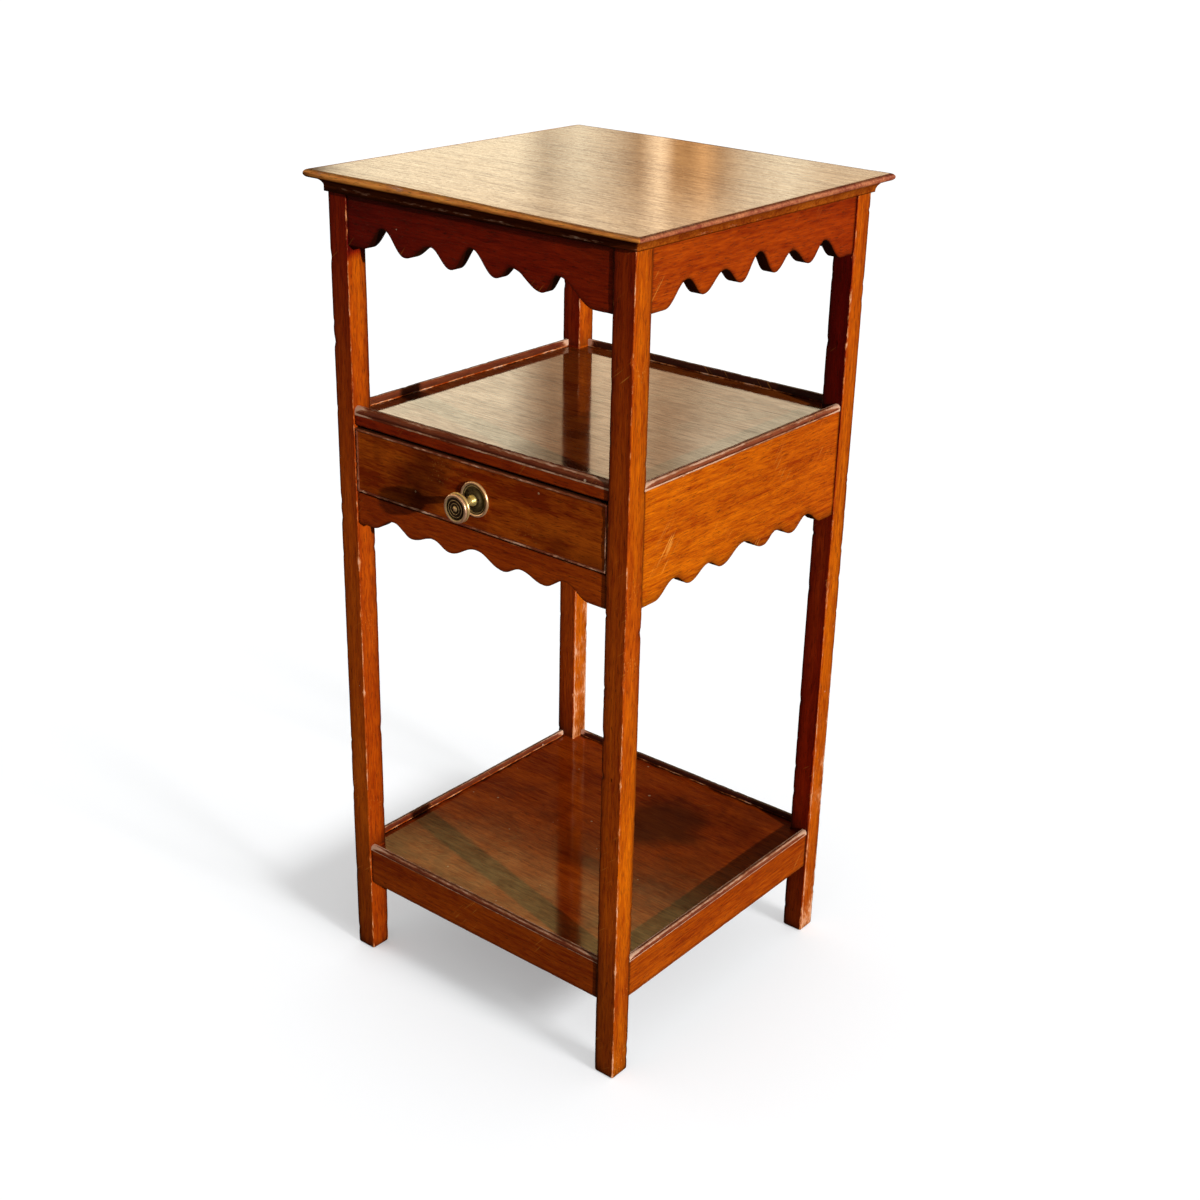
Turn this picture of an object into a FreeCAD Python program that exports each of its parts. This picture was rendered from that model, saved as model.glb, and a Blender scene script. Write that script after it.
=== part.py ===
import FreeCAD
import Part
import math
import os
from collections import namedtuple

# A square three-tier washstand: a moulded top over scalloped aprons, a middle shelf with a
# gallery and one drawer under it, and a lower shelf with a gallery. All sizes in millimetres.
# The origin is on the floor under the middle of the four legs. The front is -Y and right is +X.

# Frame
overall_height = 800.0
frame_width = 342.0
frame_depth = 342.0
leg_section = 22.0
leg_arris_round = 0.7
foot_easing = 1.5

# Top board and its moulded edge
top_thickness = 18.5
top_overhang = 15.5
nose_height = 8.0
nose_bulge = 3.0
quirk_depth = 1.2
cove_fillet_height = 1.3
cove_fillet_projection = 3.0
cove_hollow = 1.6

# Rails and their mortise and tenon joints
rail_thickness = 12.0
rail_setback = 1.5
tenon_thickness = 6.0
tenon_inset = 5.0
slim_tenon_inset = 2.5
tenon_separation = 0.8
mortise_clearance = 0.1
top_apron_height = 53.5
lower_rail_height = 38.2

# Shelves and the gallery strips round them
mid_shelf_height = 579.5
lower_shelf_height = 118.8
shelf_thickness = 8.0
shelf_tongue_cut = 3.0
shelf_drop = 1.2
shelf_clearance = 0.2
strip_width = 6.0
mid_strip_height = 6.3
lower_strip_height = 5.0
front_strip_height = 8.0
strip_inner_round = 0.9
strip_outer_round = 3.6
front_strip_round = 4.8
round_share = 0.96

# Drawer opening: a thin rail over it, a scalloped rail under it
top_rail_rise = 1.3
top_rail_lift = 1.0
drawer_opening_height = 65.7
drawer_rail_height = 30.3

# Drawer
drawer_side_gap = 0.75
drawer_top_gap = 1.6
drawer_front_lift = 1.8
drawer_front_thickness = 16.0
drawer_side_thickness = 8.0
drawer_side_drop = 11.1
drawer_back_thickness = 7.0
drawer_back_drop = 3.0
drawer_bottom_thickness = 5.0
drawer_bottom_raise = 5.0
groove_depth = 3.5
groove_clearance = 0.15
running_clearance = 0.3
cockbead_width = 2.5
cockbead_depth = 6.0
cockbead_projection = 1.2
cockbead_round = 0.9

# Dovetails of the drawer: the same number of tails at each corner
tail_count = 2
tail_margin = 3.0
tail_share = 0.62
tail_flare = 1.2
tail_lap_wall = 1.0
tail_clearance = 0.1

# Drawer runners, guides and stops
runner_width = 22.0
runner_height = 12.0
guide_height = 12.0
stop_length = 10.0
stop_width = 12.0
stop_height = 10.0

# Glue blocks under the top
glue_block_size = 14.0
glue_block_length = 45.0

# Brass knob on its backplate, turned about an axis along Y
knob_drop = 1.6
backplate_radius = 16.4
backplate_rim = 3.4
backplate_thickness = 3.0
backplate_edge = 1.0
backplate_hollow = 0.2
knob_base_radius = 5.0
knob_neck_radius = 3.2
knob_neck_length = 12.0
knob_waist = 6.6
knob_head_radius = 13.7
knob_cup_length = 5.0
cup_swell = 1.0
cup_swell_length = 1.75
knob_rim_length = 6.0
knob_rim_width = 3.6
face_recess = 1.6
face_clearance = 0.1
face_rings = 2
face_ring_height = 0.7
face_button_radius = 3.2
face_button_rise = 1.4
shank_radius = 2.5
shank_clearance = 0.3
nut_width = 11.0
nut_thickness = 3.5
nut_clearance = 0.1
shank_end = 1.5

# Scallops: turning points of the lower edge of a rail, each (pitches from the middle, rise above
# the lowest edge). A pitch is a sixth of the span between the legs. Sawn by eye, the front apron
# is not quite even, and every other rail is taken as the same on both sides of its middle.
waves_per_span = 6
wave_roundness = 0.40
wave_end = 2.62
top_front_left = [(-wave_end, 8.5), (-2.14, 29.0), (-1.61, 8.0), (-1.0, 22.0), (-0.53, 6.5)]
top_front_right = [(-0.06, 28.5), (0.49, 8.0), (0.84, 19.5), (1.50, 4.5), (1.83, 21.0), (wave_end, 0.0)]
top_side_half = [(0.0, 26.0), (0.5, 4.0), (1.0, 19.0), (1.57, 3.5), (2.03, 20.0), (wave_end, 0.0)]
mid_side_half = [(0.0, 16.0), (0.65, 3.0), (1.06, 12.0), (1.60, 2.0), (2.07, 13.5), (wave_end, 0.0)]
drawer_rail_half = [(0.0, 12.8), (0.65, 1.6), (1.06, 8.8), (1.60, 1.8), (2.07, 12.0), (wave_end, 0.0)]

# Two places closer than this count as the same place
tolerance = 1e-6

# Levels and places worked out from the sizes above
leg_height = overall_height - top_thickness
top_apron_low = leg_height - top_apron_height
rail_inner = rail_setback + rail_thickness
tenon_length = leg_section - rail_setback - (rail_thickness + tenon_thickness) / 2 - tenon_separation
mid_shelf_low = mid_shelf_height - shelf_thickness
mid_rail_top = mid_shelf_height + shelf_drop
lower_rail_top = lower_shelf_height + shelf_drop
top_rail_top = mid_rail_top + top_rail_rise
top_rail_low = mid_shelf_low + top_rail_lift
drawer_floor = top_rail_low - drawer_opening_height
drawer_rail_low = drawer_floor - drawer_rail_height
lower_rail_low = lower_rail_top - lower_rail_height
strip_inner = rail_setback + strip_width

drawer_half = frame_width / 2 - leg_section - drawer_side_gap
drawer_face = -frame_depth / 2 + rail_setback
drawer_front_back = drawer_face + drawer_front_thickness
drawer_end = frame_depth / 2 - leg_section - stop_length - running_clearance
drawer_front_low = drawer_floor + drawer_front_lift
drawer_front_high = mid_shelf_low - drawer_top_gap
drawer_side_low = drawer_floor + running_clearance
drawer_side_high = drawer_front_high - drawer_side_drop
drawer_inner_half = drawer_half - drawer_side_thickness
bottom_low = drawer_side_low + drawer_bottom_raise
bottom_high = bottom_low + drawer_bottom_thickness
back_low = bottom_high + groove_clearance
back_high = drawer_side_high - drawer_back_drop
tail_length = drawer_front_thickness - cockbead_depth - tail_lap_wall
knob_height = (drawer_front_low + drawer_front_high) / 2 - knob_drop

V = FreeCAD.Vector
Side = namedtuple("Side", "turn span reach")
front_span = frame_width - 2 * leg_section
side_span = frame_depth - 2 * leg_section
SIDES = {
    "front": Side(0, front_span, frame_depth / 2),
    "right": Side(90, side_span, frame_width / 2),
    "back": Side(180, front_span, frame_depth / 2),
    "left": Side(270, side_span, frame_width / 2),
}


def box(low, high):
    """A box between two opposite corners."""
    size = high - low
    return Part.makeBox(size.x, size.y, size.z, low)


def prism(points, along):
    """A flat polygon drawn through the points and pushed along a vector."""
    return Part.Face(Part.makePolygon(points + points[:1])).extrude(along)


def path(points):
    """Straight edges from point to point."""
    return Part.makePolygon(points).Edges


def curve(start, through, end):
    """An arc from start to end through a third point."""
    return [Part.Arc(start, through, end).toShape()]


def place(shape, side):
    """Turn a shape drawn as if for the front round to its own side."""
    shape.rotate(V(0, 0, 0), V(0, 0, 1), side.turn)
    return shape


def round_edges(shape, radius, chosen):
    """Round the edges that a test picks out."""
    return shape.makeFillet(radius, [edge for edge in shape.Edges if chosen(edge)])


def at_height(edge, height):
    return all(abs(corner.Z - height) < tolerance for corner in edge.Vertexes)


def at_depth(edge, depth):
    return all(abs(corner.Y - depth) < tolerance for corner in edge.Vertexes)


def along_x(edge):
    start, end = edge.Vertexes[0].Point, edge.Vertexes[-1].Point
    return abs(start.y - end.y) + abs(start.z - end.z) < tolerance


def along_z(edge):
    start, end = edge.Vertexes[0].Point, edge.Vertexes[-1].Point
    return abs(start.x - end.x) + abs(start.y - end.y) < tolerance


# Top board


def moulded_section(half):
    """Half-round nose, quirk and hollow cove down each side of a section of the given half width."""
    top = overall_height
    tip = half + top_overhang
    shoulder = tip - nose_bulge
    nose_low = top - nose_height
    cove_low = leg_height + cove_fillet_height
    cove_in = half + cove_fillet_projection
    cove_out = shoulder - quirk_depth
    hollow = V((cove_in + cove_out) / 2 - cove_hollow, 0, (cove_low + nose_low) / 2 + cove_hollow)
    edges = []
    for hand in (1, -1):

        def beside(across, height):
            return V(hand * across, 0, height)

        nose_tip = beside(tip, top - nose_height / 2)
        edges += curve(beside(shoulder, top), nose_tip, beside(shoulder, nose_low))
        edges += path([beside(shoulder, nose_low), beside(cove_out, nose_low)])
        edges += curve(beside(cove_out, nose_low), beside(hollow.x, hollow.z), beside(cove_in, cove_low))
        edges += path([beside(cove_in, cove_low), beside(cove_in, leg_height)])
    edges += path([V(shoulder, 0, top), V(-shoulder, 0, top)])
    edges += path([V(cove_in, 0, leg_height), V(-cove_in, 0, leg_height)])
    return Part.Face(Part.Wire(Part.__sortEdges__(edges)))


def top_board():
    """Where a moulded bar along X and one along Y cross, which mitres the moulding at the corners."""
    reach = frame_width + frame_depth
    bar_y = moulded_section(frame_width / 2)
    bar_y.translate(V(0, -reach, 0))
    bar_y = bar_y.extrude(V(0, 2 * reach, 0))
    bar_x = moulded_section(frame_depth / 2)
    bar_x.translate(V(0, -reach, 0))
    bar_x = bar_x.extrude(V(0, 2 * reach, 0))
    bar_x.rotate(V(0, 0, 0), V(0, 0, 1), 90)
    return bar_y.common(bar_x)


def glue_blocks():
    """Two blocks behind each apron, against the underside of the top, with the free corner cut off."""
    blocks = []
    for side in SIDES.values():
        inner = -side.reach + rail_inner
        for end in (-1, 1):
            start = end * side.span / 4 - glue_block_length / 2
            corner = [
                V(start, inner, leg_height),
                V(start, inner + glue_block_size, leg_height),
                V(start, inner + glue_block_size, leg_height - glue_block_size / 3),
                V(start, inner + glue_block_size / 3, leg_height - glue_block_size),
                V(start, inner, leg_height - glue_block_size),
            ]
            blocks.append(place(prism(corner, V(glue_block_length, 0, 0)), side))
    return Part.makeCompound(blocks)


# Rails, aprons and legs


def wavy_edge(start, end):
    """One flank of a scallop: a curve that leaves its start and meets its end level."""
    handle = wave_roundness * (end.x - start.x)
    flank = Part.BezierCurve()
    flank.setPoles([start, start + V(handle, 0, 0), end - V(handle, 0, 0), end])
    return flank.toShape()


def mirrored(half_waves):
    """A whole run of waves from the half that lies right of the middle."""
    return [(-along, rise) for along, rise in reversed(half_waves[1:])] + half_waves


def scalloped_lower_edge(half, y, low, waves):
    """The lower edge from the left leg to the right leg, level beside each leg."""
    pitch = 2 * half / waves_per_span
    turns = [V(along * pitch, y, low + rise) for along, rise in waves]
    edges = [wavy_edge(start, end) for start, end in zip(turns, turns[1:])]
    edges += path([V(-half, y, turns[0].z), turns[0]])
    edges += path([turns[-1], V(half, y, turns[-1].z)])
    return edges


def tenon(side, low, high, inset, end, clearance=0.0):
    """The tenon on one end of a rail, or with a clearance the mortise that takes it."""
    middle = -side.reach + rail_setback + rail_thickness / 2
    half_thickness = tenon_thickness / 2 + clearance
    shoulder = side.span / 2
    tip = shoulder + tenon_length + clearance
    near, far = sorted((end * shoulder, end * tip))
    return box(
        V(near, middle - half_thickness, low + inset - clearance),
        V(far, middle + half_thickness, high - inset + clearance),
    )


def rail(side, low, high, inset, waves, rebate):
    """A rail between two legs, tenoned at both ends, with its inner top edge rebated for a shelf."""
    half = side.span / 2
    outer = -side.reach + rail_setback
    left_low, right_low = low, low
    lower = path([V(-half, outer, low), V(half, outer, low)])
    if waves:
        left_low += waves[0][1]
        right_low += waves[-1][1]
        lower = scalloped_lower_edge(half, outer, low, waves)
    upper = path(
        [V(half, outer, right_low), V(half, outer, high), V(-half, outer, high), V(-half, outer, left_low)]
    )
    body = Part.Face(Part.Wire(Part.__sortEdges__(lower + upper))).extrude(V(0, rail_thickness, 0))
    for end in (-1, 1):
        body = body.fuse(tenon(side, low, high, inset, end))
    if rebate:
        rebate_low = V(-half, -side.reach + strip_inner, high - rebate)
        body = body.cut(box(rebate_low, V(half, -side.reach + rail_inner, high)))
    return place(body.removeSplitter(), side)


# Name: (side, lower edge, upper edge, tenon inset, scallops, depth of the rebate for a shelf)
shelf_rebate = shelf_drop + shelf_thickness
top_rail_rebate = top_rail_rise + shelf_rebate - shelf_tongue_cut
top_front_waves = top_front_left + top_front_right
top_side_waves = mirrored(top_side_half)
mid_side_waves = mirrored(mid_side_half)
drawer_rail_waves = mirrored(drawer_rail_half)
RAILS = {
    "drawer_top_rail": ("front", top_rail_low, top_rail_top, slim_tenon_inset, None, top_rail_rebate),
    "drawer_rail": ("front", drawer_rail_low, drawer_floor, tenon_inset, drawer_rail_waves, 0),
    "top_apron_front": ("front", top_apron_low, leg_height, tenon_inset, top_front_waves, 0),
}
for name in SIDES:
    RAILS["lower_rail_" + name] = (name, lower_rail_low, lower_rail_top, tenon_inset, None, shelf_rebate)
for name in ("right", "back", "left"):
    mid_levels = (name, drawer_rail_low, mid_rail_top)
    RAILS["mid_apron_" + name] = mid_levels + (tenon_inset, mid_side_waves, shelf_rebate)
    RAILS["top_apron_" + name] = (name, top_apron_low, leg_height, tenon_inset, top_side_waves, 0)


def mortises():
    """Every tenon grown by the mortise clearance."""
    cuts = []
    for name, low, high, inset, waves, rebate in RAILS.values():
        for end in (-1, 1):
            cuts.append(place(tenon(SIDES[name], low, high, inset, end, mortise_clearance), SIDES[name]))
    return cuts


def leg(hand, face):
    """A square leg with soft arrises, an eased foot and mortises; hand is +1 right, face is +1 back."""
    across = sorted((hand * frame_width / 2, hand * (frame_width / 2 - leg_section)))
    along = sorted((face * frame_depth / 2, face * (frame_depth / 2 - leg_section)))
    post = box(V(across[0], along[0], 0), V(across[1], along[1], leg_height))
    post = round_edges(post, leg_arris_round, along_z)
    foot = [edge for edge in post.Edges if at_height(edge, 0)]
    post = post.makeChamfer(foot_easing, foot)
    return post.cut(mortises())


# Shelves and gallery strips


def shelf(surface):
    """A board lying in the rebates of its four rails and notched round the legs."""
    half_x = frame_width / 2 - strip_inner - shelf_clearance
    half_y = frame_depth / 2 - strip_inner - shelf_clearance
    notch_x = frame_width / 2 - leg_section - shelf_clearance
    notch_y = frame_depth / 2 - leg_section - shelf_clearance
    underside = surface - shelf_thickness
    along = box(V(-notch_x, -half_y, underside), V(notch_x, half_y, surface))
    across = box(V(-half_x, -notch_y, underside), V(half_x, notch_y, surface))
    return along.fuse(across).removeSplitter()


def mid_shelf():
    """The middle shelf, its front edge cut to a tongue that lies on the rail over the drawer."""
    front = -frame_depth / 2
    cut_high = V(frame_width / 2, front + rail_inner, mid_shelf_low + shelf_tongue_cut)
    return shelf(mid_shelf_height).cut(box(V(-frame_width / 2, front, mid_shelf_low), cut_high))


def strip(side, base, height, outer_round):
    """A gallery strip on the outer part of a rail, with a bold round outside and a small one inside."""
    outer = -side.reach + rail_setback
    inner = outer + strip_width
    half = side.span / 2
    top = base + height
    largest = round_share * min(height, strip_width - strip_inner_round)
    body = box(V(-half, outer, base), V(half, inner, top))
    for face, radius in ((outer, min(outer_round, largest)), (inner, strip_inner_round)):

        def top_arris(edge):
            return at_height(edge, top) and at_depth(edge, face)

        body = round_edges(body, radius, top_arris)
    return place(body, side)


# Drawer


def tail(y_root, y_tip, x_low, x_high, index, clearance=0.0):
    """One dovetail of a drawer side, wider at its tip than at its root."""
    zone_low = bottom_high + tail_margin
    pitch = (back_high - tail_margin - zone_low) / tail_count
    middle = zone_low + pitch * (index + 0.5)
    root_half = pitch * tail_share / 2 + clearance
    tip_half = root_half + tail_flare
    reach = clearance if y_tip > y_root else -clearance
    outline = [
        V(x_low, y_root, middle - root_half),
        V(x_low, y_tip + reach, middle - tip_half),
        V(x_low, y_tip + reach, middle + tip_half),
        V(x_low, y_root, middle + root_half),
    ]
    return prism(outline, V(x_high - x_low, 0, 0))


def side_tails(hand, y_root, y_tip, clearance=0.0):
    """All the tails at one end of one drawer side."""
    x_low, x_high = sorted((hand * drawer_half, hand * (drawer_inner_half - clearance)))
    return [tail(y_root, y_tip, x_low, x_high, index, clearance) for index in range(tail_count)]


def cockbead_ring(front_y):
    """The ring round the drawer front that the cockbeads fill, forward to the given depth."""
    back_y = drawer_face + cockbead_depth
    outer = box(V(-drawer_half, front_y, drawer_front_low), V(drawer_half, back_y, drawer_front_high))
    hole_low = V(-drawer_half + cockbead_width, front_y, drawer_front_low + cockbead_width)
    hole_high = V(drawer_half - cockbead_width, back_y, drawer_front_high - cockbead_width)
    return outer.cut(box(hole_low, hole_high))


def drawer_front():
    """A board rebated for the cockbeads, with lapped sockets, a groove and a hole for the knob."""
    low = V(-drawer_half, drawer_face, drawer_front_low)
    board = box(low, V(drawer_half, drawer_front_back, drawer_front_high))
    board = board.cut(cockbead_ring(drawer_face))
    for hand in (-1, 1):
        tail_tip = drawer_front_back - tail_length
        board = board.cut(side_tails(hand, drawer_front_back, tail_tip, tail_clearance))
    reach = drawer_inner_half + groove_depth
    groove_low = V(-reach, drawer_front_back - groove_depth, bottom_low - groove_clearance)
    board = board.cut(box(groove_low, V(reach, drawer_front_back, bottom_high + groove_clearance)))
    hole = Part.makeCylinder(
        shank_radius + shank_clearance, drawer_front_thickness, V(0, drawer_face, knob_height), V(0, 1, 0)
    )
    return board.cut(hole)


def cockbead(turn):
    """One mitred length of the bead round the drawer front; turn is top, bottom, left or right."""
    half = drawer_half
    low, high = drawer_front_low, drawer_front_high
    width = cockbead_width
    front_y = drawer_face - cockbead_projection
    corners = {
        "top": [(-half, high), (half, high), (half - width, high - width), (-half + width, high - width)],
        "bottom": [(-half, low), (half, low), (half - width, low + width), (-half + width, low + width)],
        "left": [(-half, low), (-half, high), (-half + width, high - width), (-half + width, low + width)],
        "right": [(half, low), (half, high), (half - width, high - width), (half - width, low + width)],
    }
    bead = prism([V(x, front_y, z) for x, z in corners[turn]], V(0, cockbead_projection + cockbead_depth, 0))

    def front_arris(edge):
        return at_depth(edge, front_y) and (along_x(edge) or along_z(edge))

    return round_edges(bead, cockbead_round, front_arris)


def drawer_side(hand):
    """A side board with tails at both ends and a groove for the drawer bottom."""
    x_low, x_high = sorted((hand * drawer_half, hand * drawer_inner_half))
    back_face = drawer_end - drawer_back_thickness
    board = box(V(x_low, drawer_front_back, drawer_side_low), V(x_high, drawer_end, drawer_side_high))
    board = board.cut(box(V(x_low, back_face, back_low), V(x_high, drawer_end, back_high)))
    board = board.fuse(side_tails(hand, drawer_front_back, drawer_front_back - tail_length))
    board = board.fuse(side_tails(hand, back_face, drawer_end))
    groove = sorted((hand * drawer_inner_half, hand * (drawer_inner_half + groove_depth)))
    groove_low = V(groove[0], drawer_front_back, bottom_low - groove_clearance)
    board = board.cut(box(groove_low, V(groove[1], drawer_end, bottom_high + groove_clearance)))
    return board.removeSplitter()


def drawer_back():
    """A board standing on the drawer bottom, with pins between the tails of the sides."""
    back_face = drawer_end - drawer_back_thickness
    board = box(V(-drawer_half, back_face, back_low), V(drawer_half, drawer_end, back_high))
    for hand in (-1, 1):
        board = board.cut(side_tails(hand, back_face, drawer_end, tail_clearance))
    return board


def drawer_bottom():
    """A thin board held in the grooves of the front and the sides, running out under the back."""
    half = drawer_inner_half + groove_depth - groove_clearance
    front_y = drawer_front_back - groove_depth + groove_clearance
    return box(V(-half, front_y, bottom_low), V(half, drawer_end, bottom_high))


# Drawer runners, guides and stops


def runner(hand):
    """The strip on the side apron that the drawer side slides on, level with the rail under the drawer."""
    inner = frame_width / 2 - rail_inner
    x_low, x_high = sorted((hand * inner, hand * (inner - runner_width)))
    half = side_span / 2
    return box(V(x_low, -half, drawer_floor - runner_height), V(x_high, half, drawer_floor))


def guide(hand):
    """The strip on the runner that fills out the apron to the legs and keeps the drawer straight."""
    x_low, x_high = sorted((hand * (frame_width / 2 - rail_inner), hand * (frame_width / 2 - leg_section)))
    half = side_span / 2
    return box(V(x_low, -half, drawer_floor), V(x_high, half, drawer_floor + guide_height))


def drawer_stops():
    """A block at the back end of each runner that the drawer side comes up against."""
    stops = []
    end = side_span / 2
    for hand in (-1, 1):
        inner = frame_width / 2 - leg_section
        x_low, x_high = sorted((hand * inner, hand * (inner - stop_width)))
        low = V(x_low, end - stop_length, drawer_floor)
        stops.append(box(low, V(x_high, end, drawer_floor + stop_height)))
    return Part.makeCompound(stops)


# Knob


def turned(edges):
    """A closed profile turned full circle: X is radius, -Y is distance out of the drawer front."""
    solid = Part.Face(Part.Wire(Part.__sortEdges__(edges))).revolve(V(0, 0, 0), V(0, 1, 0), 360)
    solid.translate(V(0, drawer_face, knob_height))
    return solid


def at(radius, out):
    """A point on a turned profile."""
    return V(radius, -out, 0)


def knob_backplate():
    """A round plate with a raised rim, a dished ring and a boss that the knob stands on."""
    hole = shank_radius + shank_clearance
    rim_in = backplate_radius - backplate_rim
    rim_crest = at(backplate_radius - backplate_rim / 2, 2 * backplate_edge)
    boss = knob_base_radius + backplate_rim
    dish = at((rim_in + boss) / 2, backplate_edge - backplate_hollow)
    edges = path([at(boss, backplate_thickness), at(hole, backplate_thickness), at(hole, 0)])
    edges += path([at(hole, 0), at(backplate_radius, 0), at(backplate_radius, backplate_edge)])
    edges += curve(at(backplate_radius, backplate_edge), rim_crest, at(rim_in, backplate_edge))
    edges += curve(at(rim_in, backplate_edge), dish, at(boss, backplate_thickness))
    return turned(edges)


# Distances out of the drawer front along the knob
neck_end = backplate_thickness + knob_neck_length
cup_end = neck_end + knob_cup_length
rim_end = cup_end + knob_rim_length
face_radius = knob_head_radius - knob_rim_width
face_floor = rim_end - face_recess


def knob_body():
    """Threaded shank, hollow-turned neck, flared cup and a rim of two beads round a recessed face."""
    tail_end = -(drawer_front_thickness + nut_thickness + shank_end)
    base = at(knob_base_radius, backplate_thickness)
    waist = at(knob_neck_radius, backplate_thickness + knob_waist)
    cup_start = at((knob_neck_radius + knob_base_radius) / 2, neck_end)
    swell = at((cup_start.x + knob_head_radius) / 2 + cup_swell, neck_end + cup_swell_length)
    bead = knob_rim_length / 2
    bead_foot = knob_head_radius - bead / 2
    first_crest = at(knob_head_radius, cup_end + bead / 2)
    second_crest = at(knob_head_radius - bead / 4, rim_end - bead / 2)
    edges = path([at(0, face_floor), at(0, tail_end), at(shank_radius, tail_end)])
    edges += path([at(shank_radius, tail_end), at(shank_radius, backplate_thickness), base])
    edges += curve(base, waist, cup_start)
    edges += curve(cup_start, swell, at(bead_foot, cup_end))
    edges += curve(at(bead_foot, cup_end), first_crest, at(bead_foot, cup_end + bead))
    edges += curve(at(bead_foot, cup_end + bead), second_crest, at(bead_foot, rim_end))
    edges += path([at(bead_foot, rim_end), at(face_radius, rim_end), at(face_radius, face_floor)])
    edges += path([at(face_radius, face_floor), at(0, face_floor)])
    return turned(edges)


def knob_face():
    """A thin plate in the recess of the head, with two raised rings round a domed button."""
    edge = face_radius - face_clearance
    plate = face_floor + face_recess / 2
    ring = (edge - face_button_radius) / (2 * face_rings)
    edges = path([at(0, plate + face_button_rise), at(0, face_floor), at(edge, face_floor), at(edge, plate)])
    for count in range(face_rings):
        outside = edge - 2 * ring * count
        crest = at(outside - ring / 2, plate + face_ring_height)
        edges += curve(at(outside, plate), crest, at(outside - ring, plate))
        edges += path([at(outside - ring, plate), at(outside - 2 * ring, plate)])
    sphere = (face_button_radius**2 + face_button_rise**2) / (2 * face_button_rise)
    half_turn = math.asin(face_button_radius / sphere) / 2
    button_low = plate + face_button_rise - sphere
    button_side = at(sphere * math.sin(half_turn), button_low + sphere * math.cos(half_turn))
    edges += curve(at(face_button_radius, plate), button_side, at(0, plate + face_button_rise))
    return turned(edges)


def knob_nut():
    """A square nut on the shank, tight against the inside of the drawer front."""
    half = nut_width / 2
    low = V(-half, drawer_front_back, knob_height - half)
    nut = box(low, V(half, drawer_front_back + nut_thickness, knob_height + half))
    bore = Part.makeCylinder(
        shank_radius + nut_clearance, nut_thickness, V(0, drawer_front_back, knob_height), V(0, 1, 0)
    )
    return nut.cut(bore)


# All the pieces by name


def pieces():
    made = {"top_board": top_board(), "top_glue_blocks": glue_blocks()}
    for face_name, face in (("front", -1), ("back", 1)):
        for hand_name, hand in (("left", -1), ("right", 1)):
            made[face_name + "_" + hand_name + "_leg"] = leg(hand, face)
    for rail_name, (side_name, low, high, inset, waves, rebate) in RAILS.items():
        made[rail_name] = rail(SIDES[side_name], low, high, inset, waves, rebate)
    made["mid_shelf"] = mid_shelf()
    made["lower_shelf"] = shelf(lower_shelf_height)
    for side_name, side in SIDES.items():
        made["lower_strip_" + side_name] = strip(side, lower_rail_top, lower_strip_height, strip_outer_round)
        made["mid_strip_" + side_name] = strip(side, mid_rail_top, mid_strip_height, strip_outer_round)
    made["mid_strip_front"] = strip(SIDES["front"], top_rail_top, front_strip_height, front_strip_round)
    for hand_name, hand in (("left", -1), ("right", 1)):
        made["drawer_runner_" + hand_name] = runner(hand)
        made["drawer_guide_" + hand_name] = guide(hand)
        made["drawer_side_" + hand_name] = drawer_side(hand)
    made["drawer_stops"] = drawer_stops()
    made["drawer_front"] = drawer_front()
    made["drawer_back"] = drawer_back()
    made["drawer_bottom"] = drawer_bottom()
    for turn in ("top", "bottom", "left", "right"):
        made["cockbead_" + turn] = cockbead(turn)
    made["knob_backplate"] = knob_backplate()
    made["knob_body"] = knob_body()
    made["knob_face"] = knob_face()
    made["knob_nut"] = knob_nut()
    return made


os.makedirs("parts", exist_ok=True)
for piece_name, piece in pieces().items():
    piece.exportStep("parts/" + piece_name + ".step")
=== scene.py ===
import math

import bpy
import numpy as np
from mathutils import Matrix


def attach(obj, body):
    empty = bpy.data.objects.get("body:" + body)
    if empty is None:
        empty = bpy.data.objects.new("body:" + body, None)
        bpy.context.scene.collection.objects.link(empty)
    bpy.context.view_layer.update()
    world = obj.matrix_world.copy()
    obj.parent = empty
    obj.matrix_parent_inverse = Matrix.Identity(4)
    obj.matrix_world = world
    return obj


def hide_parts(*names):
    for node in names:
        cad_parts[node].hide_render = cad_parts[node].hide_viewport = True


# A worn mahogany washstand dressed over its solids. Legs, rails, aprons, strips, top, beads and the
# turned brass are worked out as surfaces in millimetres and put into meshes in metres. The shelves,
# the drawer front and the hidden pieces keep their own solids and only get their finishes.

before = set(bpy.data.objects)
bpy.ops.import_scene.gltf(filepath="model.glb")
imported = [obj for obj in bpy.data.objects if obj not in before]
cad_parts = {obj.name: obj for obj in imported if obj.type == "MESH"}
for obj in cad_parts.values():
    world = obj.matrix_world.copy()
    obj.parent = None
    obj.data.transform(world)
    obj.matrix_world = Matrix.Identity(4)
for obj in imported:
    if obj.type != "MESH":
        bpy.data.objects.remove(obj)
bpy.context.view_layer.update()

MM = 0.001

# Sizes of the stand, in millimetres
HALF_FRAME = 171.0
LEG_HALF = 11.0
LEG_CENTRE = HALF_FRAME - LEG_HALF
SPAN_HALF = HALF_FRAME - 2 * LEG_HALF
TOP_LEVEL = 800.0
LEG_HEIGHT = 781.5
RAIL_OUTER = -HALF_FRAME + 1.5
RAIL_INNER = RAIL_OUTER + 12.0
STRIP_INNER = RAIL_OUTER + 6.0
TOP_APRON_LOW = 728.0
MID_RAIL_TOP = 580.7
DRAWER_TOP_RAIL_LOW = 572.5
DRAWER_TOP_RAIL_TOP = 582.0
DRAWER_RAIL_LOW = 476.5
DRAWER_FLOOR = 506.8
LOWER_RAIL_TOP = 120.0
LOWER_RAIL_LOW = 81.8
SHELF_REBATE = 9.2
TOP_RAIL_REBATE = 7.5
DRAWER_HALF = 148.25
DRAWER_LOW = 508.6
DRAWER_HIGH = 569.9
KNOB_LEVEL = 537.65

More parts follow.
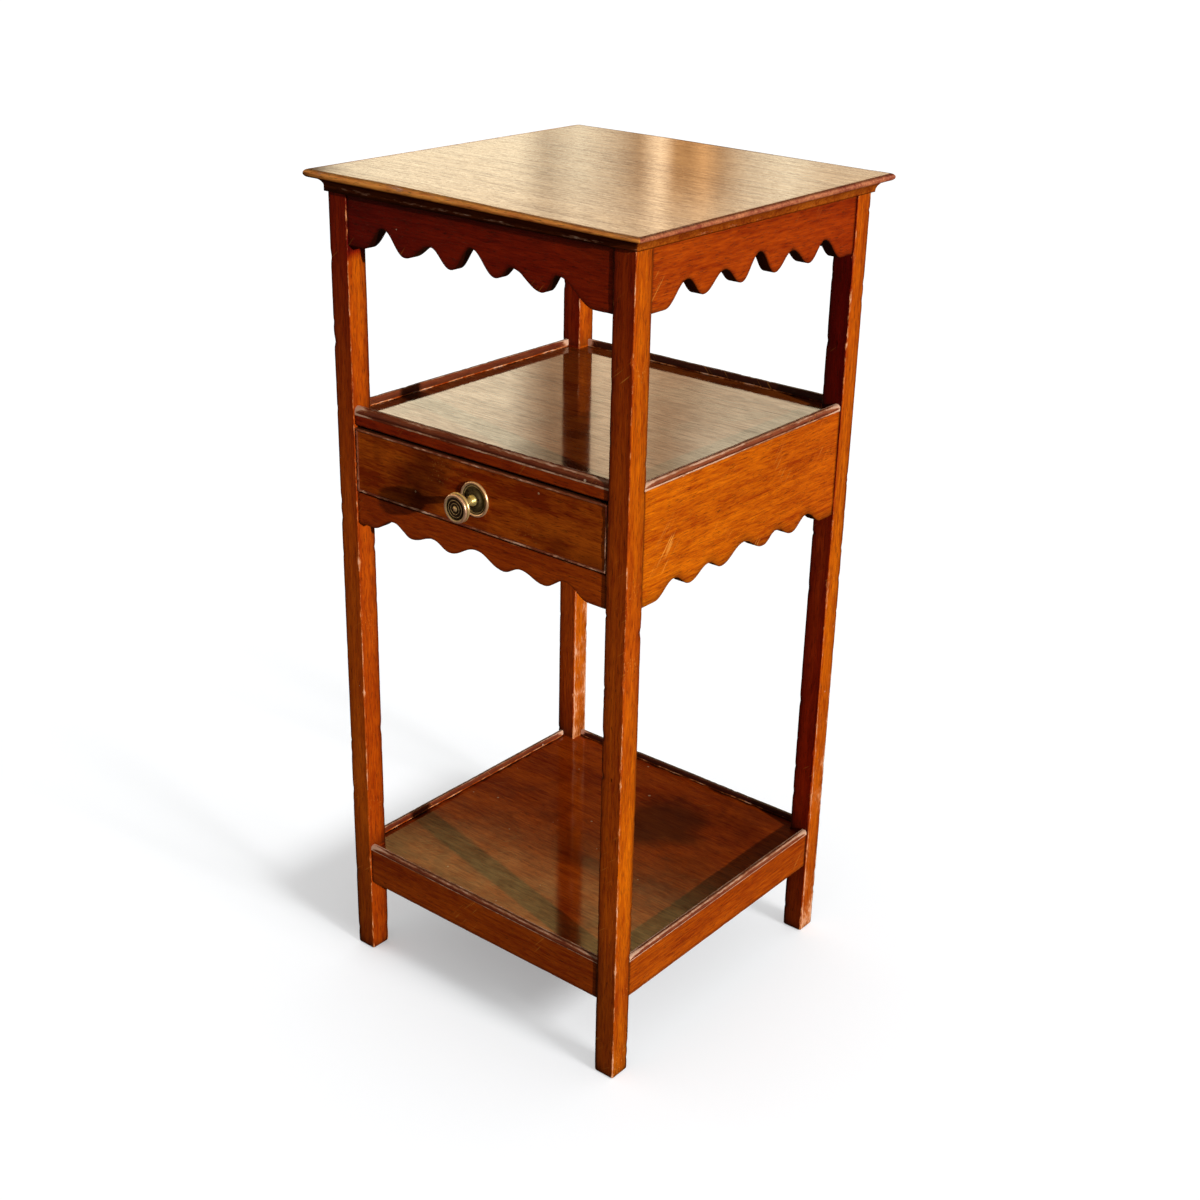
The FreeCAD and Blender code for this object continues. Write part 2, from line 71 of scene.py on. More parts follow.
# Quarter turns that carry a shape drawn for the front to each side
QUARTER_TURNS = {"front": 0, "right": 1, "back": 2, "left": 3}
QUARTER = math.pi / 2

# Scallops as turning points: place in pitches of a sixth of the span from the middle, and rise in millimetres
PITCH = SPAN_HALF / 3
WAVE_END = 2.62
WAVE_ROUNDNESS = 0.40
TOP_FRONT_WAVES = [
    (-WAVE_END, 8.5), (-2.14, 29.0), (-1.61, 8.0), (-1.0, 22.0), (-0.53, 6.5), (-0.06, 28.5),
    (0.49, 8.0), (0.84, 19.5), (1.50, 4.5), (1.83, 21.0), (WAVE_END, 0.0),
]
TOP_SIDE_HALF = [(0.0, 26.0), (0.5, 4.0), (1.0, 19.0), (1.57, 3.5), (2.03, 20.0), (WAVE_END, 0.0)]
MID_SIDE_HALF = [(0.0, 16.0), (0.65, 3.0), (1.06, 12.0), (1.60, 2.0), (2.07, 13.5), (WAVE_END, 0.0)]
DRAWER_RAIL_HALF = [(0.0, 12.8), (0.65, 1.6), (1.06, 8.8), (1.60, 1.8), (2.07, 12.0), (WAVE_END, 0.0)]


def mirrored(half):
    """A whole run of scallops from the half right of the middle."""
    return [(-along, rise) for along, rise in reversed(half[1:])] + half


# Uneven hand work


def waver(along, seed, longest, size, waves=7):
    """A slow unevenness along a length: a sum of sines of random phase, each shorter and weaker."""
    shorter, weaker = 0.62, 0.72
    draw = np.random.default_rng(seed)
    lengths = longest * shorter ** np.arange(waves)
    phases = draw.uniform(0, 2 * math.pi, waves)
    strengths = size * weaker ** np.arange(waves)
    return (strengths * np.sin(2 * math.pi * along[..., None] / lengths + phases)).sum(-1)


def nicks(along, seed, count, width, depth):
    """Small knocks along a length: bells of random place, width and depth added together."""
    draw = np.random.default_rng(seed)
    places = draw.uniform(along.min(), along.max(), count)
    widths = width * draw.uniform(0.4, 1.6, count)
    depths = depth * draw.uniform(0.2, 1.0, count) ** 2
    return (depths * np.exp(-(((along[..., None] - places) / widths) ** 2))).sum(-1)


# Putting surfaces into meshes


def grid_faces(points, rows, columns, looped):
    """Four-sided faces over a grid of points that closes round its columns, and round its rows if looped.

    Otherwise one face closes each end. All are turned about where the volume that they enclose, which is
    the sum of the faces' triple products about the middle of the points, comes out negative.
    """
    index = np.arange(rows * columns).reshape(rows, columns)
    lower = index if looped else index[:-1]
    upper = np.roll(index, -1, axis=0) if looped else index[1:]
    corners = [lower, np.roll(lower, -1, axis=1), np.roll(upper, -1, axis=1), upper]
    quads = np.stack(corners, -1).reshape(-1, 4)
    first, second, third, fourth = np.moveaxis((points - points.mean(0))[quads], 1, 0)
    volume = (first * np.cross(second - fourth, third)).sum()
    ends = [] if looped else [index[0][::-1].tolist(), index[-1].tolist()]
    faces = quads.tolist() + ends
    return [face[::-1] for face in faces] if volume < 0 else faces


def keep_level(mesh, point_count):
    """Shade the faces that lie wholly on the first points of a mesh as if they were level."""
    corner_points = np.empty(len(mesh.loops), np.int32)
    mesh.loops.foreach_get("vertex_index", corner_points)
    starts = np.empty(len(mesh.polygons), np.int32)
    mesh.polygons.foreach_get("loop_start", starts)
    inside = np.maximum.reduceat(corner_points, starts) < point_count
    normals = np.zeros((len(mesh.loops), 3))
    normals[:, 2] = np.repeat(inside, np.diff(np.append(starts, len(mesh.loops))))
    mesh.normals_split_custom_set(normals)


def put_piece(name, rings, marks, body, material, replaced, looped=False, sharp=38.0, level_rows=0):
    """One closed piece from rings of points in millimetres, with its marks spread over its points.

    Edges that turn by more than the sharp angle, in degrees, stay crisp. The first rows can be shaded level.
    """
    rows, columns = rings.shape[:2]
    points = rings.reshape(-1, 3) * MM
    mesh = bpy.data.meshes.new(name)
    mesh.from_pydata(points.tolist(), [], grid_faces(points, rows, columns, looped))
    for mark, values in marks.items():
        values = np.broadcast_to(values, (rows, columns) + np.shape(values)[2:]).astype(np.float32)
        kind, field = ("FLOAT_VECTOR", "vector") if values.ndim == 3 else ("FLOAT", "value")
        mesh.attributes.new(mark, kind, "POINT").data.foreach_set(field, values.ravel())
    mesh.shade_smooth()
    mesh.set_sharp_from_angle(angle=math.radians(sharp))
    if level_rows:
        keep_level(mesh, level_rows * columns)
    mesh.materials.append(material)
    piece = bpy.data.objects.new(name, mesh)
    bpy.context.scene.collection.objects.link(piece)
    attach(piece, body)
    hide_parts(replaced)


def quarter_turned(rings, turns):
    """Points drawn for one side, turned about the upright axis by quarter turns."""
    x, y, z = rings[..., 0], rings[..., 1], rings[..., 2]
    for turn in range(turns):
        x, y = -y, x
    return np.stack([x, y, z], -1)


def grain_marks(along, across, deep, seed):
    """Grain coordinates in metres: along the board, across it and into it, each board from another place."""
    farthest = 5.0
    shift = np.random.default_rng(seed).uniform(0.0, farthest, 3)
    return np.stack(np.broadcast_arrays(along, across, deep), -1) * MM + shift


# Shader building


class Value:
    """One output of a shader node. Sums and products of it add the nodes that reckon them."""

    def __init__(self, tree, socket):
        self.tree = tree
        self.socket = socket

    def reckoned(self, operation, first, second, clamp=False):
        """Two values put through one operation."""
        inputs = {0: first, 1: second}
        return add(self.tree, "ShaderNodeMath", inputs, operation=operation, use_clamp=clamp)[0]

    def __add__(self, other):
        return self.reckoned("ADD", self, other)

    def __sub__(self, other):
        return self.reckoned("SUBTRACT", self, other)

    def __rsub__(self, other):
        return self.reckoned("SUBTRACT", other, self)

    def __mul__(self, other):
        return self.reckoned("MULTIPLY", self, other)

    def __truediv__(self, other):
        return self.reckoned("DIVIDE", self, other)

    def __abs__(self):
        return self.reckoned("ABSOLUTE", self, 0.0)

    def capped_sum(self, other):
        """A sum kept between nothing and one."""
        return self.reckoned("ADD", self, other, clamp=True)

    def at_least(self, other):
        """The larger of this value and another."""
        return self.reckoned("MAXIMUM", self, other)

    def is_below(self, other):
        """One where this value is below another, and nothing elsewhere."""
        return self.reckoned("LESS_THAN", self, other)


class Node:
    """A node in a shader tree: its outputs are taken by name or number, and its inputs are joined or set."""

    def __init__(self, tree, made):
        self.tree = tree
        self.made = made

    def __getitem__(self, key):
        return Value(self.tree, self.made.outputs[key])

    def join(self, inputs):
        """Join inputs to values, or set them to numbers, vectors and colours of red, green and blue."""
        for key, value in inputs.items():
            socket = self.made.inputs[key]
            if isinstance(value, Value):
                self.tree.links.new(value.socket, socket)
            elif socket.type == "RGBA":
                socket.default_value = (*value, 1.0)
            else:
                socket.default_value = value
        return self


def add(tree, kind, inputs=None, **settings):
    """A new node with its settings made and its inputs joined or set."""
    made = tree.nodes.new(kind)
    for key, value in settings.items():
        setattr(made, key, value)
    return Node(tree, made).join(inputs or {})


def blended(share, first, second, way="MIX"):
    """Two colours mixed by a share."""
    tree = next(part.tree for part in (share, first, second) if isinstance(part, Value))
    inputs = {0: share, 6: first, 7: second}
    return add(tree, "ShaderNodeMix", inputs, data_type="RGBA", blend_type=way)[2]


def layered(color, layers):
    """A colour with others laid over it: each has the places it covers, how fully, and its own colour."""
    for places, fullness, over in layers:
        color = blended(places * fullness, color, over)
    return color


def swing(value, weight):
    """A value about one half made to swing about nothing, by a weight."""
    return (value - 0.5) * weight


def toned(value, stops):
    """A colour that goes through stops as a value goes from nothing to one."""
    ramp = add(value.tree, "ShaderNodeValToRGB", {0: value})
    marks = ramp.made.color_ramp.elements
    for count, (place, color) in enumerate(stops):
        stop = marks[count] if count < 2 else marks.new(place)
        stop.position = place
        stop.color = (*color, 1.0)
    return ramp[0]


def between(value, low, high, start=0.0, end=1.0):
    """A smooth step of a value from low to high, put out from start to end."""
    inputs = {"Value": value, "From Min": low, "From Max": high, "To Min": start, "To Max": end}
    return add(value.tree, "ShaderNodeMapRange", inputs, interpolation_type="SMOOTHSTEP")[0]


def stretched(vector, along, across):
    """Coordinates drawn out along the grain."""
    return add(vector.tree, "ShaderNodeMapping", {"Vector": vector, "Scale": (along, across, across)})[0]


def cloud(vector, scale=1.0, detail=3.0, roughness=0.5, distortion=0.0):
    """A cloudy value about one half."""
    inputs = {
        "Vector": vector, "Scale": scale, "Detail": detail, "Roughness": roughness, "Distortion": distortion,
    }
    return add(vector.tree, "ShaderNodeTexNoise", inputs)[0]


def mark_value(tree, name, output="Fac"):
    """A mark kept on a piece's points."""
    return add(tree, "ShaderNodeAttribute", attribute_name=name)[output]


def object_place(tree):
    """Places on the object itself, in metres."""
    return add(tree, "ShaderNodeTexCoord")["Object"]


def bumped(height, distance):
    """The way a surface faces once a height, drawn to a distance in metres, has roughened it."""
    return add(height.tree, "ShaderNodeBump", {"Height": height, "Strength": 1.0, "Distance": distance})[0]


# Effects that several finishes use

# Sockets that aren't plain numbers
SOCKET_KINDS = {"Grain": "NodeSocketVector", "Base": "NodeSocketColor", "Color": "NodeSocketColor"}


def new_group(name, inputs, outputs):
    """An empty node group with named sockets, and its two ends."""
    group = bpy.data.node_groups.new(name, "ShaderNodeTree")
    for way, labels in (("INPUT", inputs), ("OUTPUT", outputs)):
        for label in labels:
            kind = SOCKET_KINDS.get(label, "NodeSocketFloat")
            group.interface.new_socket(label, in_out=way, socket_type=kind)
    return group, add(group, "NodeGroupInput"), add(group, "NodeGroupOutput")


def mahogany_figure():
    """Wood: bands, mottles, long streaks, short fibres and dark pores, all drawn out along the first axis."""
    group, source, result = new_group(
        "mahogany figure", ["Grain", "Base", "Bands", "Streak", "Pores"], ["Color", "Height", "Streaks"],
    )
    pale_tint, deep_tint, pore_color = (1.30, 1.55, 1.60), (0.58, 0.36, 0.50), (0.012, 0.003, 0.001)
    wander = add(group, "ShaderNodeTexNoise", {"Vector": stretched(source["Grain"], 5.0, 16.0)})[1]
    drift = add(group, "ShaderNodeVectorMath", {0: wander, "Scale": 0.004}, operation="SCALE")[0]
    grain = add(group, "ShaderNodeVectorMath", {0: source["Grain"], 1: drift})[0]
    bands = cloud(stretched(grain, 4.0, 26.0), detail=2.0)
    streaks = cloud(stretched(grain, 4.0, 340.0), detail=4.0, roughness=0.6)
    fibres = cloud(stretched(grain, 60.0, 620.0), roughness=0.65)
    mottles = cloud(stretched(grain, 30.0, 110.0), roughness=0.6)
    pores = between(cloud(stretched(grain, 110.0, 1700.0), detail=1.0), 0.60, 0.70) * source["Pores"]
    lines = swing(streaks, 0.7) + swing(fibres, 1.0)
    broad = (swing(bands, 1.0) + swing(mottles, 0.9)) * source["Bands"]
    share = (broad + lines * source["Streak"]).capped_sum(0.5)
    pale = blended(1.0, source["Base"], pale_tint, "MULTIPLY")
    deep = blended(1.0, source["Base"], deep_tint, "MULTIPLY")
    result.join({
        "Color": blended(pores, blended(share, pale, deep), pore_color),
        "Height": streaks + fibres - pores,
        "Streaks": lines.capped_sum(0.5),
    })
    return group


def rubbed_arris():
    """Where an arris is rubbed bare: its mark, broken up by two sizes of cloud along the piece."""
    group, source, result = new_group(
        "rubbed arris", ["Grain", "Arris", "Amount", "Broken"], ["Rubbed", "Chipped"],
    )
    slow = cloud(source["Grain"], 38.0, detail=2.0)
    quick = cloud(stretched(source["Grain"], 150.0, 800.0), roughness=0.65)
    uneven = (swing(slow, 1.5) + swing(quick, 1.5)) * source["Broken"]
    level = source["Arris"] + uneven + source["Amount"]
    result.join({"Rubbed": between(level, 1.28, 1.52), "Chipped": between(level, 1.55, 1.68)})
    return group


def knocks_and_scratches():
    """A few pale specks, each a small cell chosen at random, and thin slanting scratches."""
    group, source, result = new_group(
        "knocks and scratches", ["Grain", "Specks", "Scratches", "Scuffed"], ["Specks", "Scratches"],
    )
    slant = (0.0, 0.0, -0.87)
    cells = add(group, "ShaderNodeTexVoronoi", {"Vector": source["Grain"], "Scale": 75.0})
    chance = add(group, "ShaderNodeSeparateColor", {0: cells["Color"]})
    spot = cells["Distance"].is_below(between(chance[1], 0.0, 1.0, 0.03, 0.11))
    chosen = chance[0].is_below(source["Specks"])
    turned = add(group, "ShaderNodeMapping", {"Vector": source["Grain"], "Rotation": slant})[0]
    lines = cloud(stretched(turned, 26.0, 700.0), detail=1.0) + source["Scuffed"] * 0.13
    patches = between(cloud(source["Grain"], 22.0, detail=2.0), 0.58, 0.72) + source["Scuffed"]
    result.join({
        "Specks": spot * chosen,
        "Scratches": between(lines, 0.64, 0.70) * patches * source["Scratches"],
    })
    return group


def old_polish():
    """How rough the polish has become: a base with clouds, streaks of the grain and rubbed places."""
    group, source, result = new_group(
        "old polish", ["Grain", "Streaks", "Rubbed", "Dullness", "Spread"], ["Roughness"],
    )
    patches = cloud(source["Grain"], 14.0) - 0.5
    lines = source["Streaks"] - 0.5
    uneven = (patches + lines) * source["Spread"]
    result.join({"Roughness": (source["Dullness"] + uneven).capped_sum(source["Rubbed"] * 0.3)})
    return group


GROUPS = {
    "figure": mahogany_figure(),
    "arris": rubbed_arris(),
    "knocks": knocks_and_scratches(),
    "polish": old_polish(),
}


def placed(tree, name, inputs):
    """One of the effects placed in a material with its own values."""
    return add(tree, "ShaderNodeGroup", inputs, node_tree=GROUPS[name])


def new_material(name):
    """A material with nothing but its shader."""
    material = bpy.data.materials.new(name)
    material.use_nodes = True
    tree = material.node_tree
    return material, tree, Node(tree, tree.nodes["Principled BSDF"])


# Finishes

# Dark colour of the grime mark, which carries real grime and painted shade in corners, quirks, coves and
# undersides
SHADE_AND_GRIME_COLOR = (0.008, 0.0025, 0.001)
POLISH_SPREAD = 0.2


def worn_mahogany(name, tones, rubbed, chipped, amount, broken, dullness, gloss, specks, scratches):
    """Polished mahogany: board tone, grime with painted shade, and rubbed arrises come from the piece's own
    marks.
    """
    material, tree, shader = new_material(name)
    grain = mark_value(tree, "grain", "Vector")
    base = toned(mark_value(tree, "tone"), tones)
    figure = placed(tree, "figure", {
        "Grain": grain, "Base": base, "Bands": 0.95, "Streak": 1.7, "Pores": 0.6,
    })
    wear = placed(tree, "arris", {
        "Grain": grain, "Arris": mark_value(tree, "arris"), "Amount": amount, "Broken": broken,
    })
    knocks = placed(tree, "knocks", {
        "Grain": grain, "Specks": specks, "Scratches": scratches, "Scuffed": mark_value(tree, "scuff"),
    })
    polish = placed(tree, "polish", {
        "Grain": grain, "Streaks": figure["Streaks"], "Rubbed": wear["Rubbed"],
        "Dullness": dullness, "Spread": POLISH_SPREAD,
    })
    # grime and painted shade darken the wood
    grimed_and_shaded = blended(mark_value(tree, "grime_and_shade"), figure["Color"], SHADE_AND_GRIME_COLOR)
    color = layered(grimed_and_shaded, [
        (wear["Rubbed"], 0.8, rubbed),
        (wear["Chipped"], 0.75, chipped),
        (knocks["Scratches"], 0.6, (0.95, 0.42, 0.07)),
        (knocks["Specks"], 0.7, (0.75, 0.55, 0.40)),
    ])
    shader.join({
        "Base Color": color,
        "Roughness": polish["Roughness"],
        "Specular IOR Level": gloss,
        "Normal": bumped(figure["Height"] - wear["Rubbed"], 0.00012),
    })
    return material


def coat_over(shader, color, shine, blur, grain, figure, rubbed, dullness, bump):
    """A colour under old polish and a clear glossy coat, whose shine changes from place to place."""
    polish = placed(shader.tree, "polish", {
        "Grain": grain, "Streaks": figure["Streaks"], "Rubbed": rubbed,
        "Dullness": dullness, "Spread": POLISH_SPREAD,
    })
    shader.join({
        "Base Color": color,
        "Roughness": polish["Roughness"],
        "Specular IOR Level": 0.0,
        "Coat Weight": shine,
        "Coat Roughness": blur,
        "Coat IOR": 1.5,
        "Normal": bumped(figure["Height"], bump),
    })


def edge_reach(place):
    """How far a point lies out from the middle of a square board, along whichever of its sides is nearer."""
    spread = add(place.tree, "ShaderNodeSeparateXYZ", {0: place})
    return abs(spread[0]).at_least(abs(spread[1]))


def polished_board(
    name, base, offset, bands, coat, coat_blur, thinnest, specks, scratches, grime_and_shade_reach, stains_shadows_and_reflections,
):
    """A flat board under a glossy coat that the grain breaks up, with grime and painted shade where it meets
    its edging.

    Stains, painted shadows and painted reflections each have a middle and a reach in metres, and a depth. No
    reach for the grime and shade means none.
    """
    material, tree, shader = new_material(name)
    place = object_place(tree)
    grain = add(tree, "ShaderNodeMapping", {"Vector": place, "Location": offset})[0]
    figure = placed(tree, "figure", {
        "Grain": grain, "Base": base, "Bands": bands, "Streak": 1.8, "Pores": 0.6,
    })
    knocks = placed(tree, "knocks", {"Grain": grain, "Specks": specks, "Scratches": scratches})
    cloudy = between(cloud(grain, 11.0, 4.0, 0.55, 1.0), 0.50, 0.72, 0.0, 0.6)
    color = blended(cloudy, figure["Color"], np.multiply(base, (0.35, 0.25, 0.4)))
    # darken each patch: real stains, and painted shadow and painted reflection
    for middle, reach, depth in stains_shadows_and_reflections:
        away = add(tree, "ShaderNodeVectorMath", {0: place, 1: middle}, operation="DISTANCE")["Value"]
        ragged = away + swing(cloud(grain, 24.0, 4.0), 1.2 * reach)
        color = blended(between(ragged, 0.3 * reach, reach, depth, 0.0), color, (0.05, 0.006, 0.001))
    patchy = between(cloud(grain, 30.0, 5.0, 0.65), 0.38, 0.62, thinnest, 1.0)
    shine = between(figure["Streaks"], 0.25, 0.95, coat, 0.45 * coat) * patchy
    # grime and painted shade along the edging, which also dull the coat
    if grime_and_shade_reach:
        ragged = edge_reach(place) + swing(cloud(place, 60.0), 0.010)
        grime_and_shade = between(ragged, grime_and_shade_reach, grime_and_shade_reach + 0.004, 0.0, 0.9)
        color = blended(grime_and_shade, color, (0.010, 0.004, 0.002))
        shine = shine * (1.0 - grime_and_shade)
    color = layered(color, [
        (knocks["Scratches"], 0.35, (0.50, 0.24, 0.06)),
        (knocks["Specks"], 0.6, (0.60, 0.40, 0.24)),
    ])
    coat_over(shader, color, shine, coat_blur, grain, figure, knocks["Specks"], dullness=0.35, bump=0.00005)
    return material


# Colours of the top's moulded edge, one set per side, with light and shade painted in: the nose at the front
# and left, pale with a painted sheen, the sunny nose at the right and back, the sunny cove low down and
# higher up, and the shaded cove, dark with painted shade
LIT_AND_SHADED_RIM_TONES = [
    (0.0, (0.90, 0.30, 0.055)), (0.5, (0.47, 0.140, 0.060)), (0.65, (0.34, 0.066, 0.004)),
    (0.75, (0.27, 0.052, 0.003)), (1.0, (0.16, 0.026, 0.004)),
]


def moulded_top():
    """The top: a pale worn field under a streaky coat, and a darker moulded edge with rubbed arrises."""
    material, tree, shader = new_material("top mahogany")
    place = object_place(tree)
    edge, grime_and_shade = mark_value(tree, "edge"), mark_value(tree, "grime_and_shade")
    # the moulded edge takes its lit and shaded colours by side: painted light and shade
    base = blended(edge, (0.36, 0.13, 0.035), toned(mark_value(tree, "tone"), LIT_AND_SHADED_RIM_TONES))
    figure = placed(tree, "figure", {"Grain": place, "Base": base, "Bands": 1.4, "Streak": 2.0, "Pores": 0.6})
    wear = placed(tree, "arris", {
        "Grain": place, "Arris": mark_value(tree, "arris"), "Amount": 0.42, "Broken": 1.0,
    })
    knocks = placed(tree, "knocks", {"Grain": place, "Specks": 0.02})
    # grime and painted shade darken the quirk, the cove and below it
    color = layered(blended(grime_and_shade, figure["Color"], SHADE_AND_GRIME_COLOR), [
        (wear["Rubbed"], 0.6, (0.52, 0.24, 0.14)),
        (wear["Chipped"], 0.75, (0.80, 0.56, 0.42)),
        (knocks["Specks"], 0.6, (0.60, 0.46, 0.33)),
    ])
    open_pores = between(cloud(stretched(place, 240.0, 800.0), detail=2.0, roughness=0.6), 0.46, 0.66)
    clear_of_grime_and_shade = between(grime_and_shade, 0.0, 0.7, 1.0, 0.1)
    streaky = between(figure["Streaks"], 0.25, 0.95, 1.0, 0.40)
    shine = streaky * (1.0 - edge * 0.6) * (1.0 - open_pores * 0.32) * clear_of_grime_and_shade
    coat_over(shader, color, shine, 0.075, place, figure, wear["Rubbed"], dullness=0.36, bump=0.00006)
    return material


def dry_lining():
    """Bare planed wood inside the drawer and behind the rails, with dark pores and handling marks."""
    material, tree, shader = new_material("dry lining wood")
    place = object_place(tree)
    grain = add(tree, "ShaderNodeMapping", {"Vector": place, "Rotation": (0.0, 0.0, -QUARTER)})[0]
    figure = placed(tree, "figure", {
        "Grain": grain, "Base": (0.38, 0.23, 0.11), "Bands": 0.7, "Streak": 1.4, "Pores": 0.4,
    })
    handled = between(cloud(place, 16.0, 4.0), 0.52, 0.75, 0.0, 0.5)
    shader.join({
        "Base Color": blended(handled, figure["Color"], (0.10, 0.05, 0.02)),
        "Roughness": between(figure["Streaks"], 0.3, 0.7, 0.55, 0.8),
        "Normal": bumped(figure["Height"], 0.00015),
    })
    return material


def old_brass():
    """Turned brass: dark with tarnish in the hollows, rubbed bright on the ridges, and faintly uneven."""
    material, tree, shader = new_material("old brass")
    grime_and_shade = mark_value(tree, "grime_and_shade")
    patches = cloud(object_place(tree), 260.0, 4.0, 0.6)
    bright = blended(patches, (0.82, 0.68, 0.24), (0.60, 0.48, 0.16))
    bright = blended(mark_value(tree, "arris"), bright, (0.88, 0.54, 0.36))
    tarnish = grime_and_shade.capped_sum(between(patches, 0.5, 0.75) * 0.25)
    shader.join({
        "Base Color": blended(tarnish, bright, (0.022, 0.009, 0.003)),
        "Roughness": between(tarnish, 0.0, 1.0, 0.34, 0.65),
        "Metallic": between(grime_and_shade, 0.3, 1.0, 0.7, 0.3),
        "Specular IOR Level": 0.15,
        "Normal": bumped(patches, 0.00008),
    })
    return material


def forged_iron():
    """Dark iron of the nut, lightly pitted and rusted."""
    material, tree, shader = new_material("forged iron")
    place = object_place(tree)
    rust = between(cloud(place, 180.0), 0.5, 0.7)
    shader.join({
        "Base Color": blended(rust, (0.06, 0.055, 0.05), (0.12, 0.05, 0.02)),
        "Roughness": between(rust, 0.0, 1.0, 0.45, 0.8),
        "Metallic": between(rust, 0.0, 1.0, 0.9, 0.1),
        "Normal": bumped(cloud(place, 500.0, 4.0, 0.6), 0.00015),
    })
    return material


# Tones from the darkest board to the palest
FRAME_TONES = [
    (0.0, (0.115, 0.0025, 0.001)), (0.2, (0.25, 0.013, 0.001)), (0.35, (0.31, 0.030, 0.001)),
    (0.5, (0.40, 0.052, 0.0015)), (0.7, (0.50, 0.078, 0.0015)), (0.85, (0.54, 0.102, 0.001)),
    (1.0, (0.64, 0.132, 0.001)),
]
STRIP_TONES = [(0.0, (0.06, 0.010, 0.005)), (0.5, (0.20, 0.038, 0.012)), (1.0, (0.36, 0.095, 0.035))]
FRAME_WOOD = worn_mahogany(
    "frame mahogany", FRAME_TONES, rubbed=(0.66, 0.23, 0.07), chipped=(0.82, 0.48, 0.32),
    amount=0.26, broken=1.0, dullness=0.42, gloss=0.07, specks=0.03, scratches=0.6,
)
STRIP_WOOD = worn_mahogany(
    "strip mahogany", STRIP_TONES, rubbed=(0.50, 0.23, 0.125), chipped=(0.78, 0.50, 0.36),
    amount=0.40, broken=0.6, dullness=0.42, gloss=0.12, specks=0.05, scratches=0.5,
)
# The pale rubbed colours stand partly for wear and partly for a painted highlight along the beads' crowns
BEAD_WOOD = worn_mahogany(
    "bead mahogany", STRIP_TONES, rubbed=(0.62, 0.29, 0.17), chipped=(0.86, 0.58, 0.44),
    amount=0.40, broken=0.9, dullness=0.40, gloss=0.15, specks=0.05, scratches=0.5,
)
TOP_WOOD = moulded_top()
# Its two dark patches near the middle are a painted reflection of the back left leg
MID_SHELF_WOOD = polished_board(
    "middle shelf mahogany", (0.24, 0.045, 0.004), offset=(2.1, 0.9, 0.0), bands=1.2,
    coat=1.0, coat_blur=0.08, thinnest=0.9, specks=0.03, scratches=0.4, grime_and_shade_reach=0.160,
    stains_shadows_and_reflections=[((0.003, -0.020, 0.575), 0.016, 0.85), ((0.030, -0.070, 0.575), 0.020, 0.5)],
)
LOWER_SHELF_WOOD = polished_board(
    "lower shelf mahogany", (0.37, 0.046, 0.002), offset=(3.7, 1.6, 0.0), bands=1.6,
    coat=1.0, coat_blur=0.09, thinnest=0.72, specks=0.22, scratches=1.0, grime_and_shade_reach=0.159,
    stains_shadows_and_reflections=[
        ((0.040, 0.070, 0.115), 0.075, 0.75), ((0.115, 0.0, 0.115), 0.06, 0.25),
        ((0.01, -0.03, 0.115), 0.05, 0.3), ((-0.150, -0.140, 0.115), 0.05, 0.5),
    ],
)
# Its two dark patches left of the knob are painted shadow, drawing out the knob's shadow
DRAWER_WOOD = polished_board(
    "drawer mahogany", (0.39, 0.063, 0.003), offset=(1.9, 0.7, 0.0), bands=2.4,
    coat=0.10, coat_blur=0.35, thinnest=1.0, specks=0.05, scratches=1.0, grime_and_shade_reach=0.0,
    stains_shadows_and_reflections=[((-0.062, -0.1695, 0.545), 0.045, 0.6), ((-0.09, -0.1695, 0.52), 0.04, 0.4)],
)
LINING_WOOD = dry_lining()
BRASS = old_brass()
IRON = forged_iron()


# Legs

# Tones by height up each leg, on its right and front faces and on the two that face away. Besides the wood
# they
# carry painted shade: the front faces darken above the middle shelf and up under the top, the back right
# leg's front most, and the front left leg's right face goes dark beside the apron
LEG_LEVELS = (20.0, 90.0, 230.0, 440.0, 600.0, 722.0, 732.0)
AWAY_TONES = (0.60, 0.64, 0.68, 0.66, 0.56, 0.40, 0.40)
LEG_TONES = {
    "front_left": {
        "right": (0.60, 0.52, 0.58, 0.58, 0.64, 0.74, 0.0),
        "front": (0.68, 0.68, 0.72, 0.62, 0.48, 0.28, 0.22),
    },
    "front_right": {
        "right": (0.95, 0.72, 0.98, 0.70, 0.90, 0.78, 0.78),
        "front": (0.66, 0.64, 0.72, 0.60, 0.54, 0.36, 0.34),
    },
    "back_left": {
        "right": (0.85, 0.85, 0.85, 0.80, 0.72, 0.80, 0.80),
        "front": (0.50, 0.50, 0.56, 0.50, 0.25, 0.20, 0.20),
    },
    "back_right": {
        "right": (0.70, 0.74, 0.80, 0.90, 0.78, 0.74, 0.74),
        "front": (0.40, 0.25, 0.16, 0.30, 0.02, 0.0, 0.0),
    },
}
# How bare the right faces of the back legs are, by the same heights
BARE_BACKS = (0.95, 0.92, 0.90, 0.45, 0.15, 0.5, 0.5)
# How far each leg's arrises are rubbed
LEG_WEAR = {"front_left": 1.12, "front_right": 1.08, "back_left": 1.12, "back_right": 0.98}

FOOT_EASING = 2.6
# Points round a corner: four on the face before it, by their distance from the round, some over the round,
# and four on the next face
BESIDE = np.array([0.35, 1.0, 2.2, 9.0])
ROUND_POINTS = 7
CORNER_POINTS = 2 * len(BESIDE) + ROUND_POINTS
# The corner between the front and right faces, which faces the sun: it is rubbed most, and only the others
# get painted shade
SUNNY_CORNER = 3


def over_corner(first, second):
    """A mark that is even on two faces and goes evenly from one to the other over the corner between them."""
    ends = [len(BESIDE) - 1, CORNER_POINTS - len(BESIDE)]
    return np.interp(np.arange(CORNER_POINTS), ends, [first, second])


def round_corners(faces):
    """Such a mark for all four corners, from its values on the right, back, left and front faces."""
    return np.concatenate([over_corner(faces[corner], faces[(corner + 1) % 4]) for corner in range(4)])


